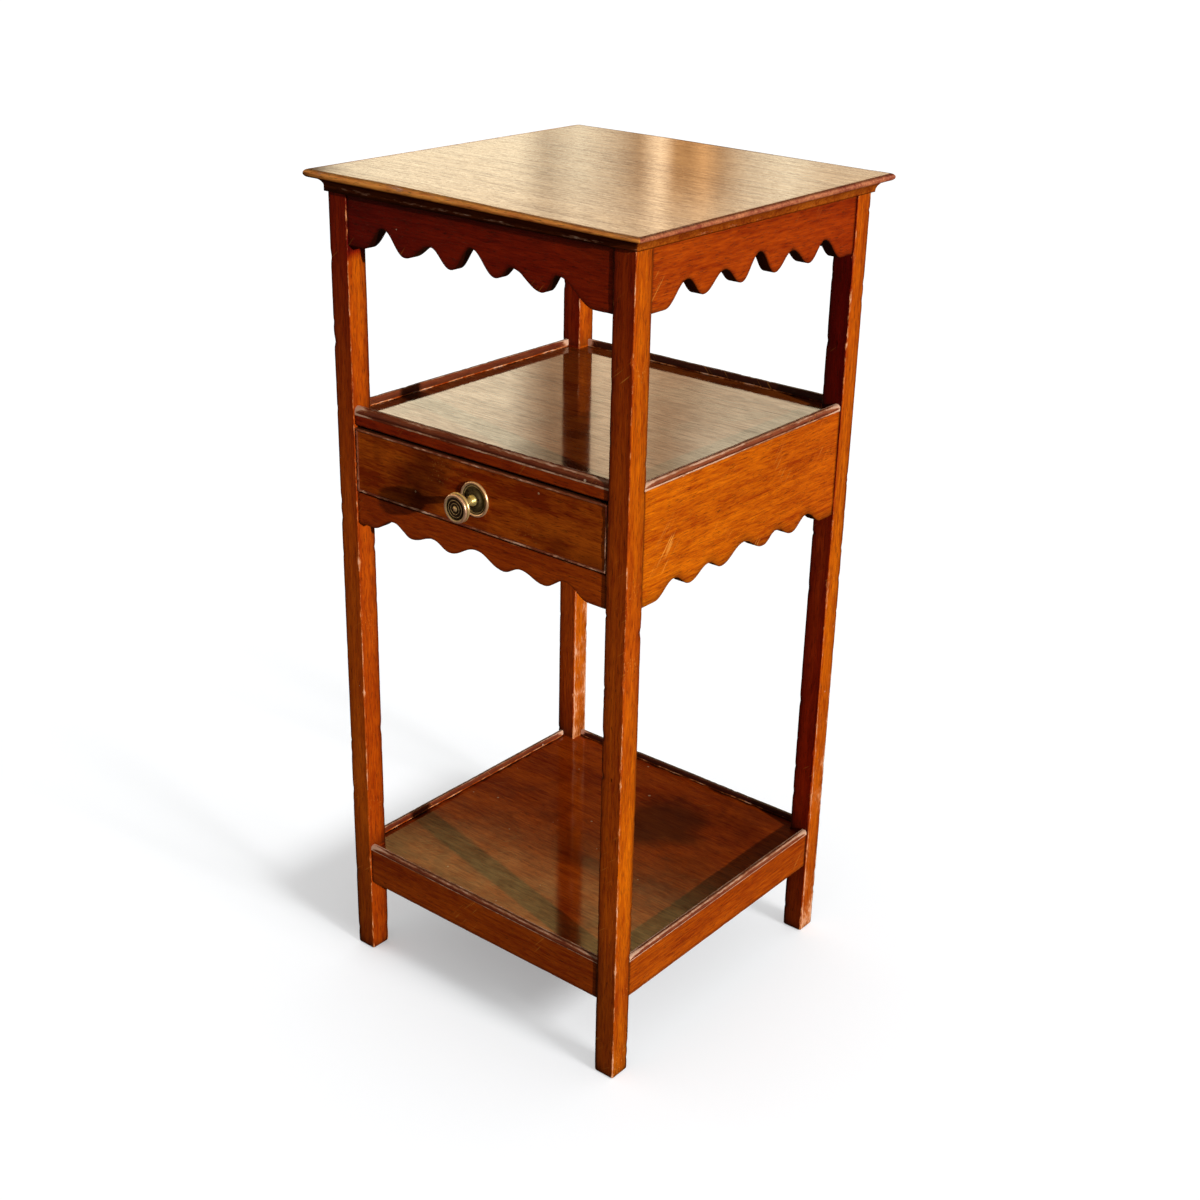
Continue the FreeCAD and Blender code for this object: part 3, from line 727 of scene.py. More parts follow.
def leg_levels():
    """Heights of the rings: close together over the eased foot, then even up to the top."""
    over_foot = FOOT_EASING * np.array([0.0, 0.12, 0.35, 0.7])
    return np.concatenate([over_foot, np.linspace(2.7, LEG_HEIGHT, 290)])


def leg_shape(level, seed):
    """A square section with rounded corners carried up the leg, about the leg's own middle.

    The foot draws in along a quarter circle, and the rounding wavers and swells at knocks and near the foot.
    """
    above = np.maximum(FOOT_EASING - level, 0.0)
    inset = FOOT_EASING - np.sqrt((FOOT_EASING - above) * (FOOT_EASING + above))
    half = LEG_HALF - inset[:, None]
    flat = half + 0 * BESIDE
    turn = np.linspace(0.0, QUARTER, ROUND_POINTS)
    corners = []
    for corner in range(4):
        knocked = waver(level, seed * 10 + corner, longest=260.0, size=0.10)
        knocked += nicks(level, seed * 20 + corner, count=26, width=3.0, depth=2.0)
        radius = np.clip(0.85 + knocked + 1.1 * np.exp(-level / 22.0), 0.4, 3.4)[:, None]
        x = np.hstack([flat, half - radius + radius * np.cos(turn), half - radius - BESIDE])
        y = np.hstack([half - radius - BESIDE[::-1], half - radius + radius * np.sin(turn), flat])
        z = np.broadcast_to(level[:, None], x.shape)
        corners.append(quarter_turned(np.stack([x, y, z], -1), corner))
    return np.hstack(corners)


def leg_tone(level, faces):
    """The faces' tones by height, blended over each corner and a little redder beside it."""
    redder = np.array([0.10, 0.08, 0.04, -0.02])
    share = np.linspace(0.0, 1.0, ROUND_POINTS)
    tones = [np.interp(level, LEG_LEVELS, face)[:, None] for face in faces]
    columns = []
    for corner in range(4):
        first, second = tones[corner], tones[(corner + 1) % 4]
        columns += [first - redder[::-1], first * (1 - share) + second * share - redder[0], second - redder]
    return np.hstack(columns)


def leg_arris(level, wear, bare):
    """How rubbed a leg is: most over each round, less beside it, more at the foot and on bare right faces."""
    on_flat = np.array([0.62, 0.34, 0.12, 0.0])
    on_round = 0.8 + 0.2 * np.sin(2 * np.linspace(0.0, QUARTER, ROUND_POINTS))
    one_corner = np.concatenate([on_flat[::-1], on_round, on_flat])
    strength = np.where(np.arange(4) == SUNNY_CORNER, 1.0, 0.86)
    rubbed = np.outer(np.ones(len(level)), np.outer(strength, one_corner).ravel())
    bare_face = np.interp(level, LEG_LEVELS, BARE_BACKS)[:, None] * bare
    rubbed[:, : len(BESIDE)] += bare_face
    rubbed[:, -len(BESIDE) :] += bare_face
    return rubbed * (wear + 0.35 * np.exp(-level / 30.0)[:, None])


def leg_grime_and_shade(level, inner):
    """Darkening on a leg: at the foot and low down, painted shade on the corners away from the sun,
    and painted shadow on inner faces just above a shelf.

    Foot and shelves fade by powers of e with height, and the low darkening by an S-shaped step.
    """
    beside = np.array([0.0, 0.22, 0.45, 0.6])
    dark_corner = np.concatenate([beside, np.full(ROUND_POINTS, 0.65), beside[::-1]])
    # painted shade on the corners away from the sun
    shaded = np.outer(np.arange(4) != SUNNY_CORNER, dark_corner).ravel()
    over_shelves = np.zeros(len(level))
    for shelf, reach in ((LOWER_RAIL_TOP, 12.0), (MID_RAIL_TOP, 9.0)):
        over_shelves += np.where(level - shelf > -1.0, np.exp(-(level - shelf) / reach), 0.0)
    at_foot = 0.75 * np.exp(-level / 5.0)[:, None]
    low_down = 1.0 / (1.0 + np.exp((level - 135.0) / 18.0))[:, None]
    # painted shadow on inner faces just above each shelf
    at_shelves = 0.6 * over_shelves[:, None] * round_corners(inner)
    darkening = low_down * round_corners([0.12, 0.35, 0.35, 0.35])
    return np.clip(at_foot + at_shelves + darkening + shaded, 0.0, 0.9)


for leg_count, (leg_name, face_tones) in enumerate(LEG_TONES.items()):
    seed = 3 + leg_count
    depth_way = -1 if leg_name.startswith("front") else 1
    hand_way = -1 if leg_name.endswith("left") else 1
    level = leg_levels()
    shape = leg_shape(level, seed)
    marks = {
        "arris": leg_arris(level, LEG_WEAR[leg_name], depth_way > 0),
        "grime_and_shade": leg_grime_and_shade(level, [hand_way < 0, depth_way < 0, hand_way > 0, depth_way > 0]),
        "tone": leg_tone(level, [face_tones["right"], AWAY_TONES, AWAY_TONES, face_tones["front"]]),
        "grain": grain_marks(shape[..., 2], shape[..., 0], shape[..., 1], seed),
    }
    rings = shape + (hand_way * LEG_CENTRE, depth_way * LEG_CENTRE, 0.0)
    node_name = leg_name + "_leg"
    put_piece("worn_" + node_name, rings, marks, "stand", FRAME_WOOD, node_name)


# Rails and aprons

# How far up the face its rows of points lie, from the top down, and the points over each eased lower arris
UP_FACE = np.array([1.0, 0.98, 0.94, 0.82, 0.70, 0.58, 0.46, 0.34, 0.22, 0.10, 0.03])
EASED_POINTS = 5


def scalloped_edge(waves, steps=16):
    """Places and heights along a sawn edge: between turning points each flank leaves and arrives level.

    Run and climb along a flank are cubics of one step that goes from nothing to one.
    """
    plain_points = 6
    step = np.linspace(0.0, 1.0, steps, endpoint=False)
    early, late = 3 * step * (1 - step) ** 2, 3 * step**2 * (1 - step)
    run = WAVE_ROUNDNESS * early + (1 - WAVE_ROUNDNESS) * late + step**3
    climb = 3 * step**2 - 2 * step**3
    place, rise = np.array(waves).T
    places = place[:-1, None] + run * np.diff(place)[:, None]
    rises = rise[:-1, None] + climb * np.diff(rise)[:, None]
    ends = np.linspace(-SPAN_HALF, place[0] * PITCH, plain_points, endpoint=False)
    along = np.concatenate([ends, places.ravel() * PITCH, -ends[::-1]])
    lift = np.concatenate([np.full(plain_points, rise[0]), rises.ravel(), np.full(plain_points, rise[-1])])
    return along, lift


def plain_edge(seed):
    """A straight lower edge that wavers a little under the plane."""
    along = np.linspace(-SPAN_HALF, SPAN_HALF, 90)
    return along, waver(along, seed, 300.0, 0.07)


def rail_shape(along, lift, low, high, rebate, seed):
    """The section of a rail, rebated for its shelf, carried along; only its lower edge follows the saw.

    Both lower arrises are eased by quarter circles that grow at nicks.
    """
    bottom = (low + lift)[:, None]
    soft = 0.8 + nicks(along, seed, count=14, width=2.5, depth=0.7)[:, None]
    turn = np.linspace(0.0, QUARTER, EASED_POINTS)
    lip = [(RAIL_INNER, rebate), (STRIP_INNER, rebate)]
    lip += [(STRIP_INNER, down) for down in (2.0, 1.2, 0.0)]
    inside = np.array(lip if rebate else [(RAIL_INNER, 0.0)])
    face_z = bottom + soft + UP_FACE * (high - bottom - soft)
    y = np.hstack([
        np.full(face_z.shape, RAIL_OUTER), RAIL_OUTER + soft * (1 - np.cos(turn)),
        RAIL_INNER - soft * (1 - np.sin(turn)), inside[:, 0] + 0 * bottom,
    ])
    z = np.hstack([
        face_z, bottom + soft * (1 - np.sin(turn)),
        bottom + soft * (1 - np.cos(turn)), high - inside[:, 1] + 0 * bottom,
    ])
    return np.stack([np.broadcast_to(along[:, None], y.shape), y, z], -1)


def rail_marks(shape, rebated, seed, tones, shade, darkening, lip_darkening, scuffs):
    """Marks of a rail: painted shade under its top and on its eased underside, darker towards its lower edge
    and all over by a set amount, a darker inside, dark joints, rubbed arrises and scuffs.

    A scuff is a place along and a level, and fades with distance.
    """
    x, y, z = shape[..., 0], shape[..., 1], shape[..., 2]
    along = x[:, 0]
    # painted shade under the top of the face, and darker towards its lower edge
    face = darkening + shade * np.interp(UP_FACE, [0.6, 0.94, 1.0], [0.0, 0.6, 1.0])
    face += np.interp(UP_FACE, [0.03, 0.10], [0.3, 0.0])
    face_arris = np.concatenate([[0.95, 0.5], np.zeros(7), [0.0, 0.25]])
    lip = [0.5, 0.6, max(0.3, lip_darkening), lip_darkening, lip_darkening] if rebated else [0.5]
    lip_arris = [0.0, 0.0, 0.4, 1.15, 1.15] if rebated else [0.0]
    # painted shade over the eased arrises and underside, and a darker inside and lip
    grime_and_shade = np.concatenate([face, [0.5, 0.6, 0.7, 0.8, 0.9], [0.9, 0.9, 0.8, 0.7, 0.6], lip])
    joint = 0.75 * np.exp(-(SPAN_HALF - np.abs(along)) / 0.9)[:, None]
    return {
        "arris": np.concatenate([face_arris, [0.6, 0.65, 0.55, 0.3, 0.1], np.zeros(EASED_POINTS), lip_arris]),
        "grime_and_shade": np.clip(grime_and_shade + joint, 0.0, 0.95),
        "scuff": sum(np.exp(-np.hypot(x - place, z - level) / 9.0) for place, level in scuffs),
        "tone": np.interp(along, [-SPAN_HALF, SPAN_HALF], tones)[:, None],
        "grain": grain_marks(x, z, y, seed),
    }


def put_rail(node_name, side, edge, low, high, rebate, seed, tones, shade=0.0, darkening=0.0, scuffs=()):
    """One rail or apron, drawn for the front and turned to its side."""
    lip_darkening = 0.7 if side == "back" else 0.0
    shape = rail_shape(*edge, low, high, rebate, seed)
    marks = rail_marks(shape, rebate > 0, seed, tones, shade, darkening, lip_darkening, scuffs)
    rings = quarter_turned(shape, QUARTER_TURNS[side])
    put_piece("worn_" + node_name, rings, marks, "stand", FRAME_WOOD, node_name)


# Tones of each board from its left end to its right end, seen from outside
TOP_APRON_TONES = {"front": (0.03, 0.25), "right": (0.52, 0.32), "back": (0.3, 0.3), "left": (0.3, 0.3)}
MID_APRON_TONES = {"right": (0.98, 0.74), "back": (0.5, 0.5), "left": (0.5, 0.5)}
LOWER_RAIL_TONES = {"front": (0.58, 0.64), "right": (0.72, 0.68), "back": (0.5, 0.5), "left": (0.5, 0.5)}
# Places along and levels of the scuffs on the middle apron's right side
RIGHT_SCUFFS = [(-116.0, 530.0), (-112.0, 522.0), (120.0, 552.0)]

for side_count, side_name in enumerate(QUARTER_TURNS):
    on_front = side_name == "front"
    waves = TOP_FRONT_WAVES if on_front else mirrored(TOP_SIDE_HALF)
    put_rail(
        "top_apron_" + side_name, side_name, scalloped_edge(waves), low=TOP_APRON_LOW, high=LEG_HEIGHT,
        rebate=0.0, seed=31 + side_count, tones=TOP_APRON_TONES[side_name], shade=0.6 if on_front else 0.1,
    )
    put_rail(
        "lower_rail_" + side_name, side_name, plain_edge(seed=41 + side_count), low=LOWER_RAIL_LOW,
        high=LOWER_RAIL_TOP, rebate=SHELF_REBATE, seed=51 + side_count, tones=LOWER_RAIL_TONES[side_name],
        darkening=0.24,
    )
for side_count, side_name in enumerate(MID_APRON_TONES):
    put_rail(
        "mid_apron_" + side_name, side_name, scalloped_edge(mirrored(MID_SIDE_HALF)), low=DRAWER_RAIL_LOW,
        high=MID_RAIL_TOP, rebate=SHELF_REBATE, seed=61 + side_count, tones=MID_APRON_TONES[side_name],
        scuffs=RIGHT_SCUFFS if side_name == "right" else (),
    )
put_rail(
    "drawer_rail", "front", scalloped_edge(mirrored(DRAWER_RAIL_HALF)), low=DRAWER_RAIL_LOW,
    high=DRAWER_FLOOR, rebate=0.0, seed=71, tones=(0.42, 0.56),
)
put_rail(
    "drawer_top_rail", "front", plain_edge(seed=72), low=DRAWER_TOP_RAIL_LOW, high=DRAWER_TOP_RAIL_TOP,
    rebate=TOP_RAIL_REBATE, seed=73, tones=(0.24, 0.46),
)


# Gallery strips


def strip_shape(base, height, bold, seed):
    """A small ovolo with a quirk and a narrow flat behind it, carried between two legs.

    The ovolo is a quarter circle as wide as it is bold, and the top wavers and dips at nicks.
    """
    quirk, narrow = 0.55, 0.9
    along = np.linspace(-SPAN_HALF, SPAN_HALF, 130)
    dip = waver(along, seed, 240.0, 0.08) - nicks(along, seed + 1, 16, 2.0, 0.5)
    top = base + height + np.minimum(dip, 0.1)[:, None]
    turn = np.linspace(0.0, QUARTER, 9)
    small_turn = np.linspace(0.0, QUARTER, 4)
    fillet = base + (height - bold) * np.array([0.0, 0.15, 0.50, 0.65, 0.85])
    crown = RAIL_OUTER + bold
    y = np.concatenate([
        np.full(len(fillet), RAIL_OUTER), RAIL_OUTER + bold * (1 - np.cos(turn)),
        crown + np.array([0.05, 0.40, 0.50]), STRIP_INNER - narrow * (1 - np.sin(small_turn)), [STRIP_INNER],
    ])
    z = np.hstack([
        fillet + 0 * top, top - bold * (1 - np.sin(turn)), top - np.array([quirk, quirk, 0.08]),
        top - narrow * (1 - np.cos(small_turn)), base + 0 * top,
    ])
    return np.stack(np.broadcast_arrays(along[:, None], y, z), -1)


def strip_marks(shape, seed, tone, pale_ends, worn):
    """Marks of a strip: a rubbed fillet and ovolo, painted shade in the quirk and along its feet, and ends
    where polish is lost.
    """
    x, y, z = shape[..., 0], shape[..., 1], shape[..., 2]
    along = x[:, :1]
    fillet_arris, fillet_shade = [0.5, 0.95, 0.95, 0.2, 0.0], [0.8, 0.1, 0.1, 0.6, 0.5]
    round_arris = [0.1, 0.2, 0.4, 0.65, 0.85, 0.95, 0.8, 0.6, 0.3]
    round_shade = [0.2, 0.1, 0.0, 0.0, 0.0, 0.0, 0.0, 0.3, 0.7]
    behind_arris, behind_shade = [1.0, 0.9, 0.6, 0.35, 0.1], [0.0, 0.0, 0.0, 0.15, 0.6]
    arris = np.concatenate([fillet_arris, round_arris, [0.0, 0.0, 0.8], behind_arris])
    # painted shade along the strip's feet, under the ovolo and in the quirk
    grime_and_shade = np.concatenate([fillet_shade, round_shade, [0.95, 0.95, 0.2], behind_shade])
    end_reach = 9.0
    at_left, at_right = np.exp(-(along + SPAN_HALF) / end_reach), np.exp(-(SPAN_HALF - along) / end_reach)
    ends = pale_ends[0] * at_left + pale_ends[1] * at_right
    return {
        "arris": np.interp(along, [-SPAN_HALF, SPAN_HALF], worn) * arris + ends,
        "grime_and_shade": np.clip(grime_and_shade - ends, 0.0, 1.0),
        "tone": tone,
        "grain": grain_marks(x, z, y, seed),
    }


def put_strip(node_name, side, tone, pale_ends, worn, base, height, bold, seed):
    """One gallery strip, drawn for the front and turned to its side."""
    shape = strip_shape(base, height, bold, seed)
    marks = strip_marks(shape, seed, tone, pale_ends, worn)
    rings = quarter_turned(shape, QUARTER_TURNS[side])
    put_piece("worn_" + node_name, rings, marks, "stand", STRIP_WOOD, node_name)


# Tone of the strips on each side, how far polish is lost at their left and right ends, and how rubbed
# they are from left to right
SIDE_STRIPS = {
    "front": (0.45, (1.3, 0.4), (1.2, 1.25)), "right": (0.65, (1.2, 1.2), (1.4, 1.25)),
    "back": (0.0, (0.4, 1.6), (0.7, 0.7)), "left": (0.55, (1.6, 0.6), (1.2, 1.2)),
}
for side_count, (side_name, looks) in enumerate(SIDE_STRIPS.items()):
    put_strip(
        "lower_strip_" + side_name, side_name, *looks, base=LOWER_RAIL_TOP, height=5.0, bold=3.6,
        seed=81 + side_count,
    )
    if side_name != "front":
        put_strip(
            "mid_strip_" + side_name, side_name, *looks, base=MID_RAIL_TOP, height=6.3, bold=3.6,
            seed=91 + side_count,
        )
put_strip(
    "mid_strip_front", "front", tone=0.5, pale_ends=(1.3, 0.3), worn=(0.9, 1.4), base=DRAWER_TOP_RAIL_TOP,
    height=8.0, bold=4.6, seed=99,
)


# Top board

NOSE_HEIGHT = 8.0
NOSE_BULGE = 3.0
TOP_TIP = HALF_FRAME + 15.5
SHOULDER = TOP_TIP - NOSE_BULGE
TOP_SAG = 4.6
# Rows from the middle of the top out over a quirk, a nose and a cove, and back below
INNER_ROWS, QUIRK_ROWS, NOSE_ROWS, COVE_ROWS, BELOW_ROWS = 12, 4, 13, 9, 5
FIELD = slice(0, INNER_ROWS + QUIRK_ROWS)
NOSE = slice(FIELD.stop, FIELD.stop + NOSE_ROWS)
COVE = slice(NOSE.stop, NOSE.stop + COVE_ROWS)
MID_NOSE = NOSE.start + NOSE_ROWS // 2
LOW_NOSE = slice(NOSE.start + 5, NOSE.stop)
LOW_COVE = slice(COVE.start + 3, COVE.stop)


def square_ring(half, corner, steps):
    """Square loops by half width and corner radius: a side and a quarter circle, turned four times."""
    side = np.linspace(-1.0, 1.0, steps, endpoint=False)[1:]
    turn = np.linspace(0.0, QUARTER, 6)
    half, corner = half[:, None], corner[:, None]
    x = np.hstack([half + 0 * side, half - corner + corner * np.cos(turn)])
    y = np.hstack([(half - corner) * side, half - corner + corner * np.sin(turn)])
    return np.hstack([x, -y, -x, y]), np.hstack([y, x, -y, -x])


def top_profile():
    """Half widths of all rows, and how far up the nose and the cove their rows lie, from nothing to one.

    The nose is an arc that bulges past the shoulder, and the cove a hollow quarter round.
    """
    nose_radius = ((NOSE_HEIGHT / 2) ** 2 + NOSE_BULGE**2) / (2 * NOSE_BULGE)
    sweep = math.asin(NOSE_HEIGHT / 2 / nose_radius)
    turn = np.linspace(sweep, -sweep, NOSE_ROWS)
    hollow = np.linspace(0.0, QUARTER, COVE_ROWS)
    cove_in, cove_out = HALF_FRAME + 3.0, SHOULDER - 1.2
    half = np.concatenate([
        SHOULDER * np.array([0.02, 0.15, 0.3, 0.45, 0.6, 0.7, 0.78, 0.84, 0.89, 0.93, 0.96, 0.985]),
        SHOULDER - np.array([1.3, 1.0, 0.5, 0.2]),
        TOP_TIP - nose_radius + nose_radius * np.cos(turn),
        cove_in + (cove_out - cove_in) * (1 - np.sin(hollow)) ** 0.9,
        cove_in * np.array([1.0, 0.985, 0.92, 0.78, 0.3]),
    ])
    up_nose = 0.5 + nose_radius * np.sin(turn) / NOSE_HEIGHT
    up_cove = 1 - (1 - np.cos(hollow)) ** 0.9
    return half, up_nose[:, None], up_cove[:, None]


def top_shape(x, y, half, up_nose, up_cove):
    """The rows at their levels: the warped top leans down to its front right, where its nose is thinner.

    The lean is a ramp to the right that is halved towards the back. Nicks draw the nose in.
    """
    to_right, to_back = (x / TOP_TIP + 1) / 2, (y / TOP_TIP + 1) / 2
    sag = TOP_SAG * np.clip((to_right - 0.30) / 0.62, 0.0, 1.0) * (1 - 0.5 * to_back)
    to_left, edge_sag = 1 - to_right[MID_NOSE], sag[MID_NOSE]
    nose_low = TOP_LEVEL - NOSE_HEIGHT + 1.2 * to_left - 0.25 * edge_sag
    cove_low = LEG_HEIGHT + 1.3 + 3.5 * to_left**2
    quirk = np.zeros((FIELD.stop, 1))
    quirk[-3:, 0] = 0.5, 0.5, 0.1
    z = np.full(x.shape, LEG_HEIGHT)
    z[FIELD] = TOP_LEVEL - sag[FIELD] - quirk
    z[NOSE] = nose_low + up_nose * (TOP_LEVEL - edge_sag - nose_low)
    z[COVE] = cove_low + up_cove * (nose_low - cove_low)
    around = np.arctan2(y, x) * 300.0
    shrink = np.ones(x.shape)
    worn_in = nicks(around, seed=7, count=60, width=3.0, depth=0.5)
    shrink[NOSE] -= (worn_in / half[:, None])[NOSE]
    return np.stack([x * shrink, y * shrink, z], -1)


def top_marks(x, y):
    """Marks by row: painted shade in the quirk, the cove and below it, lighter on the sunny right and back,
    and a rubbed nose, rubbed less on the sunny sides.

    Painted shade also lies at the front left tip and fades by powers of e with distance from it.
    """
    sunny = np.maximum(x, y) > np.maximum(-x, -y)
    from_tip = np.hypot(x + TOP_TIP, y + TOP_TIP)
    down_nose = np.arange(NOSE_ROWS)
    nose_arris = np.interp(down_nose, [0, 3, 6, 12], [0.55, 0.75, 0.5, 0.25])
    nose_shade = np.interp(down_nose, [0, 1, 2, 3, 8, 10, 12], [0.3, 0.5, 0.4, 0.0, 0.0, 0.5, 0.95])
    cove_shade = np.interp(np.arange(COVE_ROWS), [0, 2, 4, 7, 8], [0.95, 0.85, 0.6, 0.45, 0.1])
    cove_arris = np.concatenate([np.zeros(COVE_ROWS - 2), [0.82, 0.88]])
    below_shade = [0.95, 0.6, 0.6, 0.6, 0.6]
    arris = np.concatenate([np.zeros(FIELD.stop), nose_arris, cove_arris, [0.2], np.zeros(BELOW_ROWS - 1)])
    quirk_shade = [0.2, 0.85, 0.85, 0.2]
    grime_and_shade = np.concatenate([np.zeros(INNER_ROWS), quirk_shade, nose_shade, cove_shade, below_shade])
    edge = np.concatenate([np.zeros(INNER_ROWS - 1), [0.15], np.full(QUIRK_ROWS + 1, 0.4)])
    edge = np.pad(edge, (0, len(x) - len(edge)), constant_values=1.0)
    grime_and_shade = grime_and_shade[:, None] + np.zeros(x.shape)
    # painted shade in the cove, lighter on the sunny sides
    grime_and_shade[COVE] *= np.where(sunny[COVE], 0.45, 1.0)
    grime_and_shade[LOW_COVE] *= np.where(sunny[LOW_COVE], 0.3, 1.0)
    # painted shade on the field and lower nose near the front left tip
    grime_and_shade[FIELD] += 0.9 * np.exp(-from_tip[FIELD] / 26.0)
    grime_and_shade[LOW_NOSE] += 0.8 * np.exp(-from_tip[LOW_NOSE] / 22.0)
    # lit and shaded rim colours, chosen by side
    tone = np.where(sunny, 0.5, 0.0)
    tone[COVE.start :] = np.where(sunny, 0.75, 1.0)[COVE.start :]
    tone[LOW_COVE.start :] = np.where(sunny, 0.65, 1.0)[LOW_COVE.start :]
    return {
        "tone": tone,
        "arris": arris[:, None] * np.where(sunny, 0.65, 1.0),
        "grime_and_shade": np.clip(grime_and_shade, 0.0, 1.0),
        "edge": edge[:, None],
    }


half, up_nose, up_cove = top_profile()
x, y = square_ring(half, np.minimum(2.2, 0.05 * half), 70)
put_piece(
    "worn_top_board", top_shape(x, y, half, up_nose, up_cove), top_marks(x, y), "stand",
    TOP_WOOD, "top_board", level_rows=INNER_ROWS + 1,
)


# Drawer beads


def bead_rings(long_half, short_half, seed):
    """A half-round bead along one edge of the drawer front, shorter the further in it goes, as a mitre."""
    width, proud, deep = 2.5, 1.2, 6.0
    along = np.linspace(-1.0, 1.0, 110)
    turn = np.linspace(0.0, math.pi, 9)
    inward = np.concatenate([[0.0], width / 2 * (1 - np.cos(turn)), [width]])
    outward = np.concatenate([[-deep], proud * np.sin(turn) ** 0.7, [-deep]])
    worn = nicks(along * long_half, seed, count=18, width=1.8, depth=0.7)[:, None]
    out = np.where(outward > 0, outward * (1.0 - np.clip(worn, 0.0, 0.7)), outward)
    place = along[:, None] * (long_half - inward)
    edge = np.broadcast_to(short_half - inward, out.shape)
    marks = {
        # the crown is rubbed pale, partly wear and partly a painted highlight, and its feet get painted shade
        "arris": np.concatenate([[0.0], 0.25 + 0.75 * np.sin(turn), [0.0]]),
        "grime_and_shade": np.concatenate([[0.9], 0.7 * (1 - np.sin(turn)) ** 2, [0.9]]),
        "tone": 0.7,
        "grain": grain_marks(place, edge, out, seed),
    }
    return place, edge, out, marks


drawer_middle = (DRAWER_LOW + DRAWER_HIGH) / 2
drawer_rise = (DRAWER_HIGH - DRAWER_LOW) / 2
# Whether each bead stands upright, and which way it lies from the middle
BEADS = {"top": (False, 1), "bottom": (False, -1), "right": (True, 1), "left": (True, -1)}
for bead_count, (bead_name, (upright, way)) in enumerate(BEADS.items()):
    halves = (drawer_rise, DRAWER_HALF) if upright else (DRAWER_HALF, drawer_rise)
    place, edge, out, marks = bead_rings(*halves, 111 + bead_count)
    x = way * edge if upright else place
    z = drawer_middle + (place if upright else way * edge)
    put_piece(
        "worn_cockbead_" + bead_name, np.stack([x, RAIL_OUTER - out, z], -1), marks, "drawer",
        BEAD_WOOD, "cockbead_" + bead_name,
    )


# Knob


def turned_rings(radius, out, steps=96):
    """A profile of radius and distance out of the drawer front, turned about an axis that droops a little."""
    droop = 0.09 * np.maximum(out - 3.0, 0.0)
    angle = np.linspace(0.0, 2 * math.pi, steps, endpoint=False)
    x = radius[:, None] * np.cos(angle)
    z = KNOB_LEVEL - droop[:, None] + radius[:, None] * np.sin(angle)
    y = np.broadcast_to(RAIL_OUTER - out[:, None], x.shape)
    return np.stack([x, y, z], -1)


def bent(points, steps=8):
    """A profile through points: each stretch is a cubic with slopes taken from the points about it."""
    points = np.array(points, float)
    padded = np.vstack([2 * points[0] - points[1], points, 2 * points[-1] - points[-2]])
    step = np.linspace(0.0, 1.0, steps, endpoint=False)[None, :, None]
    a, b, c, d = (padded[k : len(padded) - 3 + k][:, None, :] for k in range(4))
    curve, twist = 2 * a - 5 * b + 4 * c - d, 3 * b - a - 3 * c + d
    eased = 0.5 * (2 * b + (c - a) * step + curve * step**2 + twist * step**3)
    return np.vstack([eased.reshape(-1, 2), points[-1:]])


def turned_piece(name, profile, arris, grime_and_shade, node_name, looped=False):
    """A turned piece. Its marks go by place along its profile, from nothing to one."""
    rows = np.linspace(0.0, 1.0, len(profile))
    marks = {
        "arris": np.interp(rows, *np.array(arris).T)[:, None],
        "grime_and_shade": np.interp(rows, *np.array(grime_and_shade).T)[:, None],
    }
    rings = turned_rings(profile[:, 0], profile[:, 1])
    put_piece(name, rings, marks, "drawer", BRASS, node_name, looped=looped, sharp=55.0)


# Profiles as radius and distance out of the drawer front, in millimetres

backplate_profile = np.vstack([
    [(2.8, 0.0), (16.2, 0.0)],
    bent([(16.4, 0.4), (16.4, 1.0), (15.9, 1.9), (15.0, 2.15), (14.1, 1.8), (13.5, 1.1)]),
    bent([
        (13.2, 1.0), (12.7, 1.35), (12.1, 1.3), (11.5, 0.85), (9.5, 0.8), (8.2, 1.2), (7.4, 2.6), (6.6, 3.0),
    ]),
    [(2.8, 3.0)],
])
turned_piece(
    "turned_backplate", backplate_profile,
    arris=[
        (0, 0), (0.05, 0.3), (0.2, 0.9), (0.34, 0.9), (0.41, 0.1), (0.45, 0), (0.53, 0.5), (0.6, 0.3),
        (0.66, 0), (1, 0),
    ],
    grime_and_shade=[
        (0, 0.2), (0.1, 0.05), (0.34, 0.05), (0.42, 0.9), (0.46, 0.9), (0.53, 0.4), (0.58, 0.45),
        (0.66, 0.92), (1, 0.95),
    ],
    node_name="knob_backplate", looped=True,
)

body_profile = np.vstack([
    [(0.4, -21.0), (2.3, -21.0), (2.5, -20.8), (2.5, 3.0)],
    bent([(5.0, 3.0), (5.2, 3.8), (4.8, 5.0), (3.6, 7.0), (3.2, 9.6), (3.4, 12.0), (4.1, 15.0), (6.5, 16.0)]),
    bent([
        (7.0, 16.2), (9.4, 16.8), (11.6, 18.6), (12.2, 20.0), (13.2, 20.4), (13.7, 21.5), (13.2, 22.6),
        (12.4, 23.0),
    ]),
    bent([(12.4, 23.1), (13.0, 23.5), (13.3, 24.5), (13.0, 25.6), (12.2, 26.0), (10.9, 25.9), (10.2, 25.5)]),
    [(10.1, 24.4), (0.4, 24.4)],
])
turned_piece(
    "turned_knob", body_profile,
    arris=[
        (0, 0), (0.52, 0.1), (0.6, 0.5), (0.68, 0.1), (0.72, 0.2), (0.8, 0.9), (0.92, 1.0), (0.97, 0.4),
        (1, 0),
    ],
    grime_and_shade=[
        (0, 0.5), (0.03, 0.5), (0.06, 0.1), (0.36, 0.0), (0.62, 0.0), (0.68, 0.7), (0.72, 0.1), (0.93, 0.05),
        (1, 1.0),
    ],
    node_name="knob_body",
)

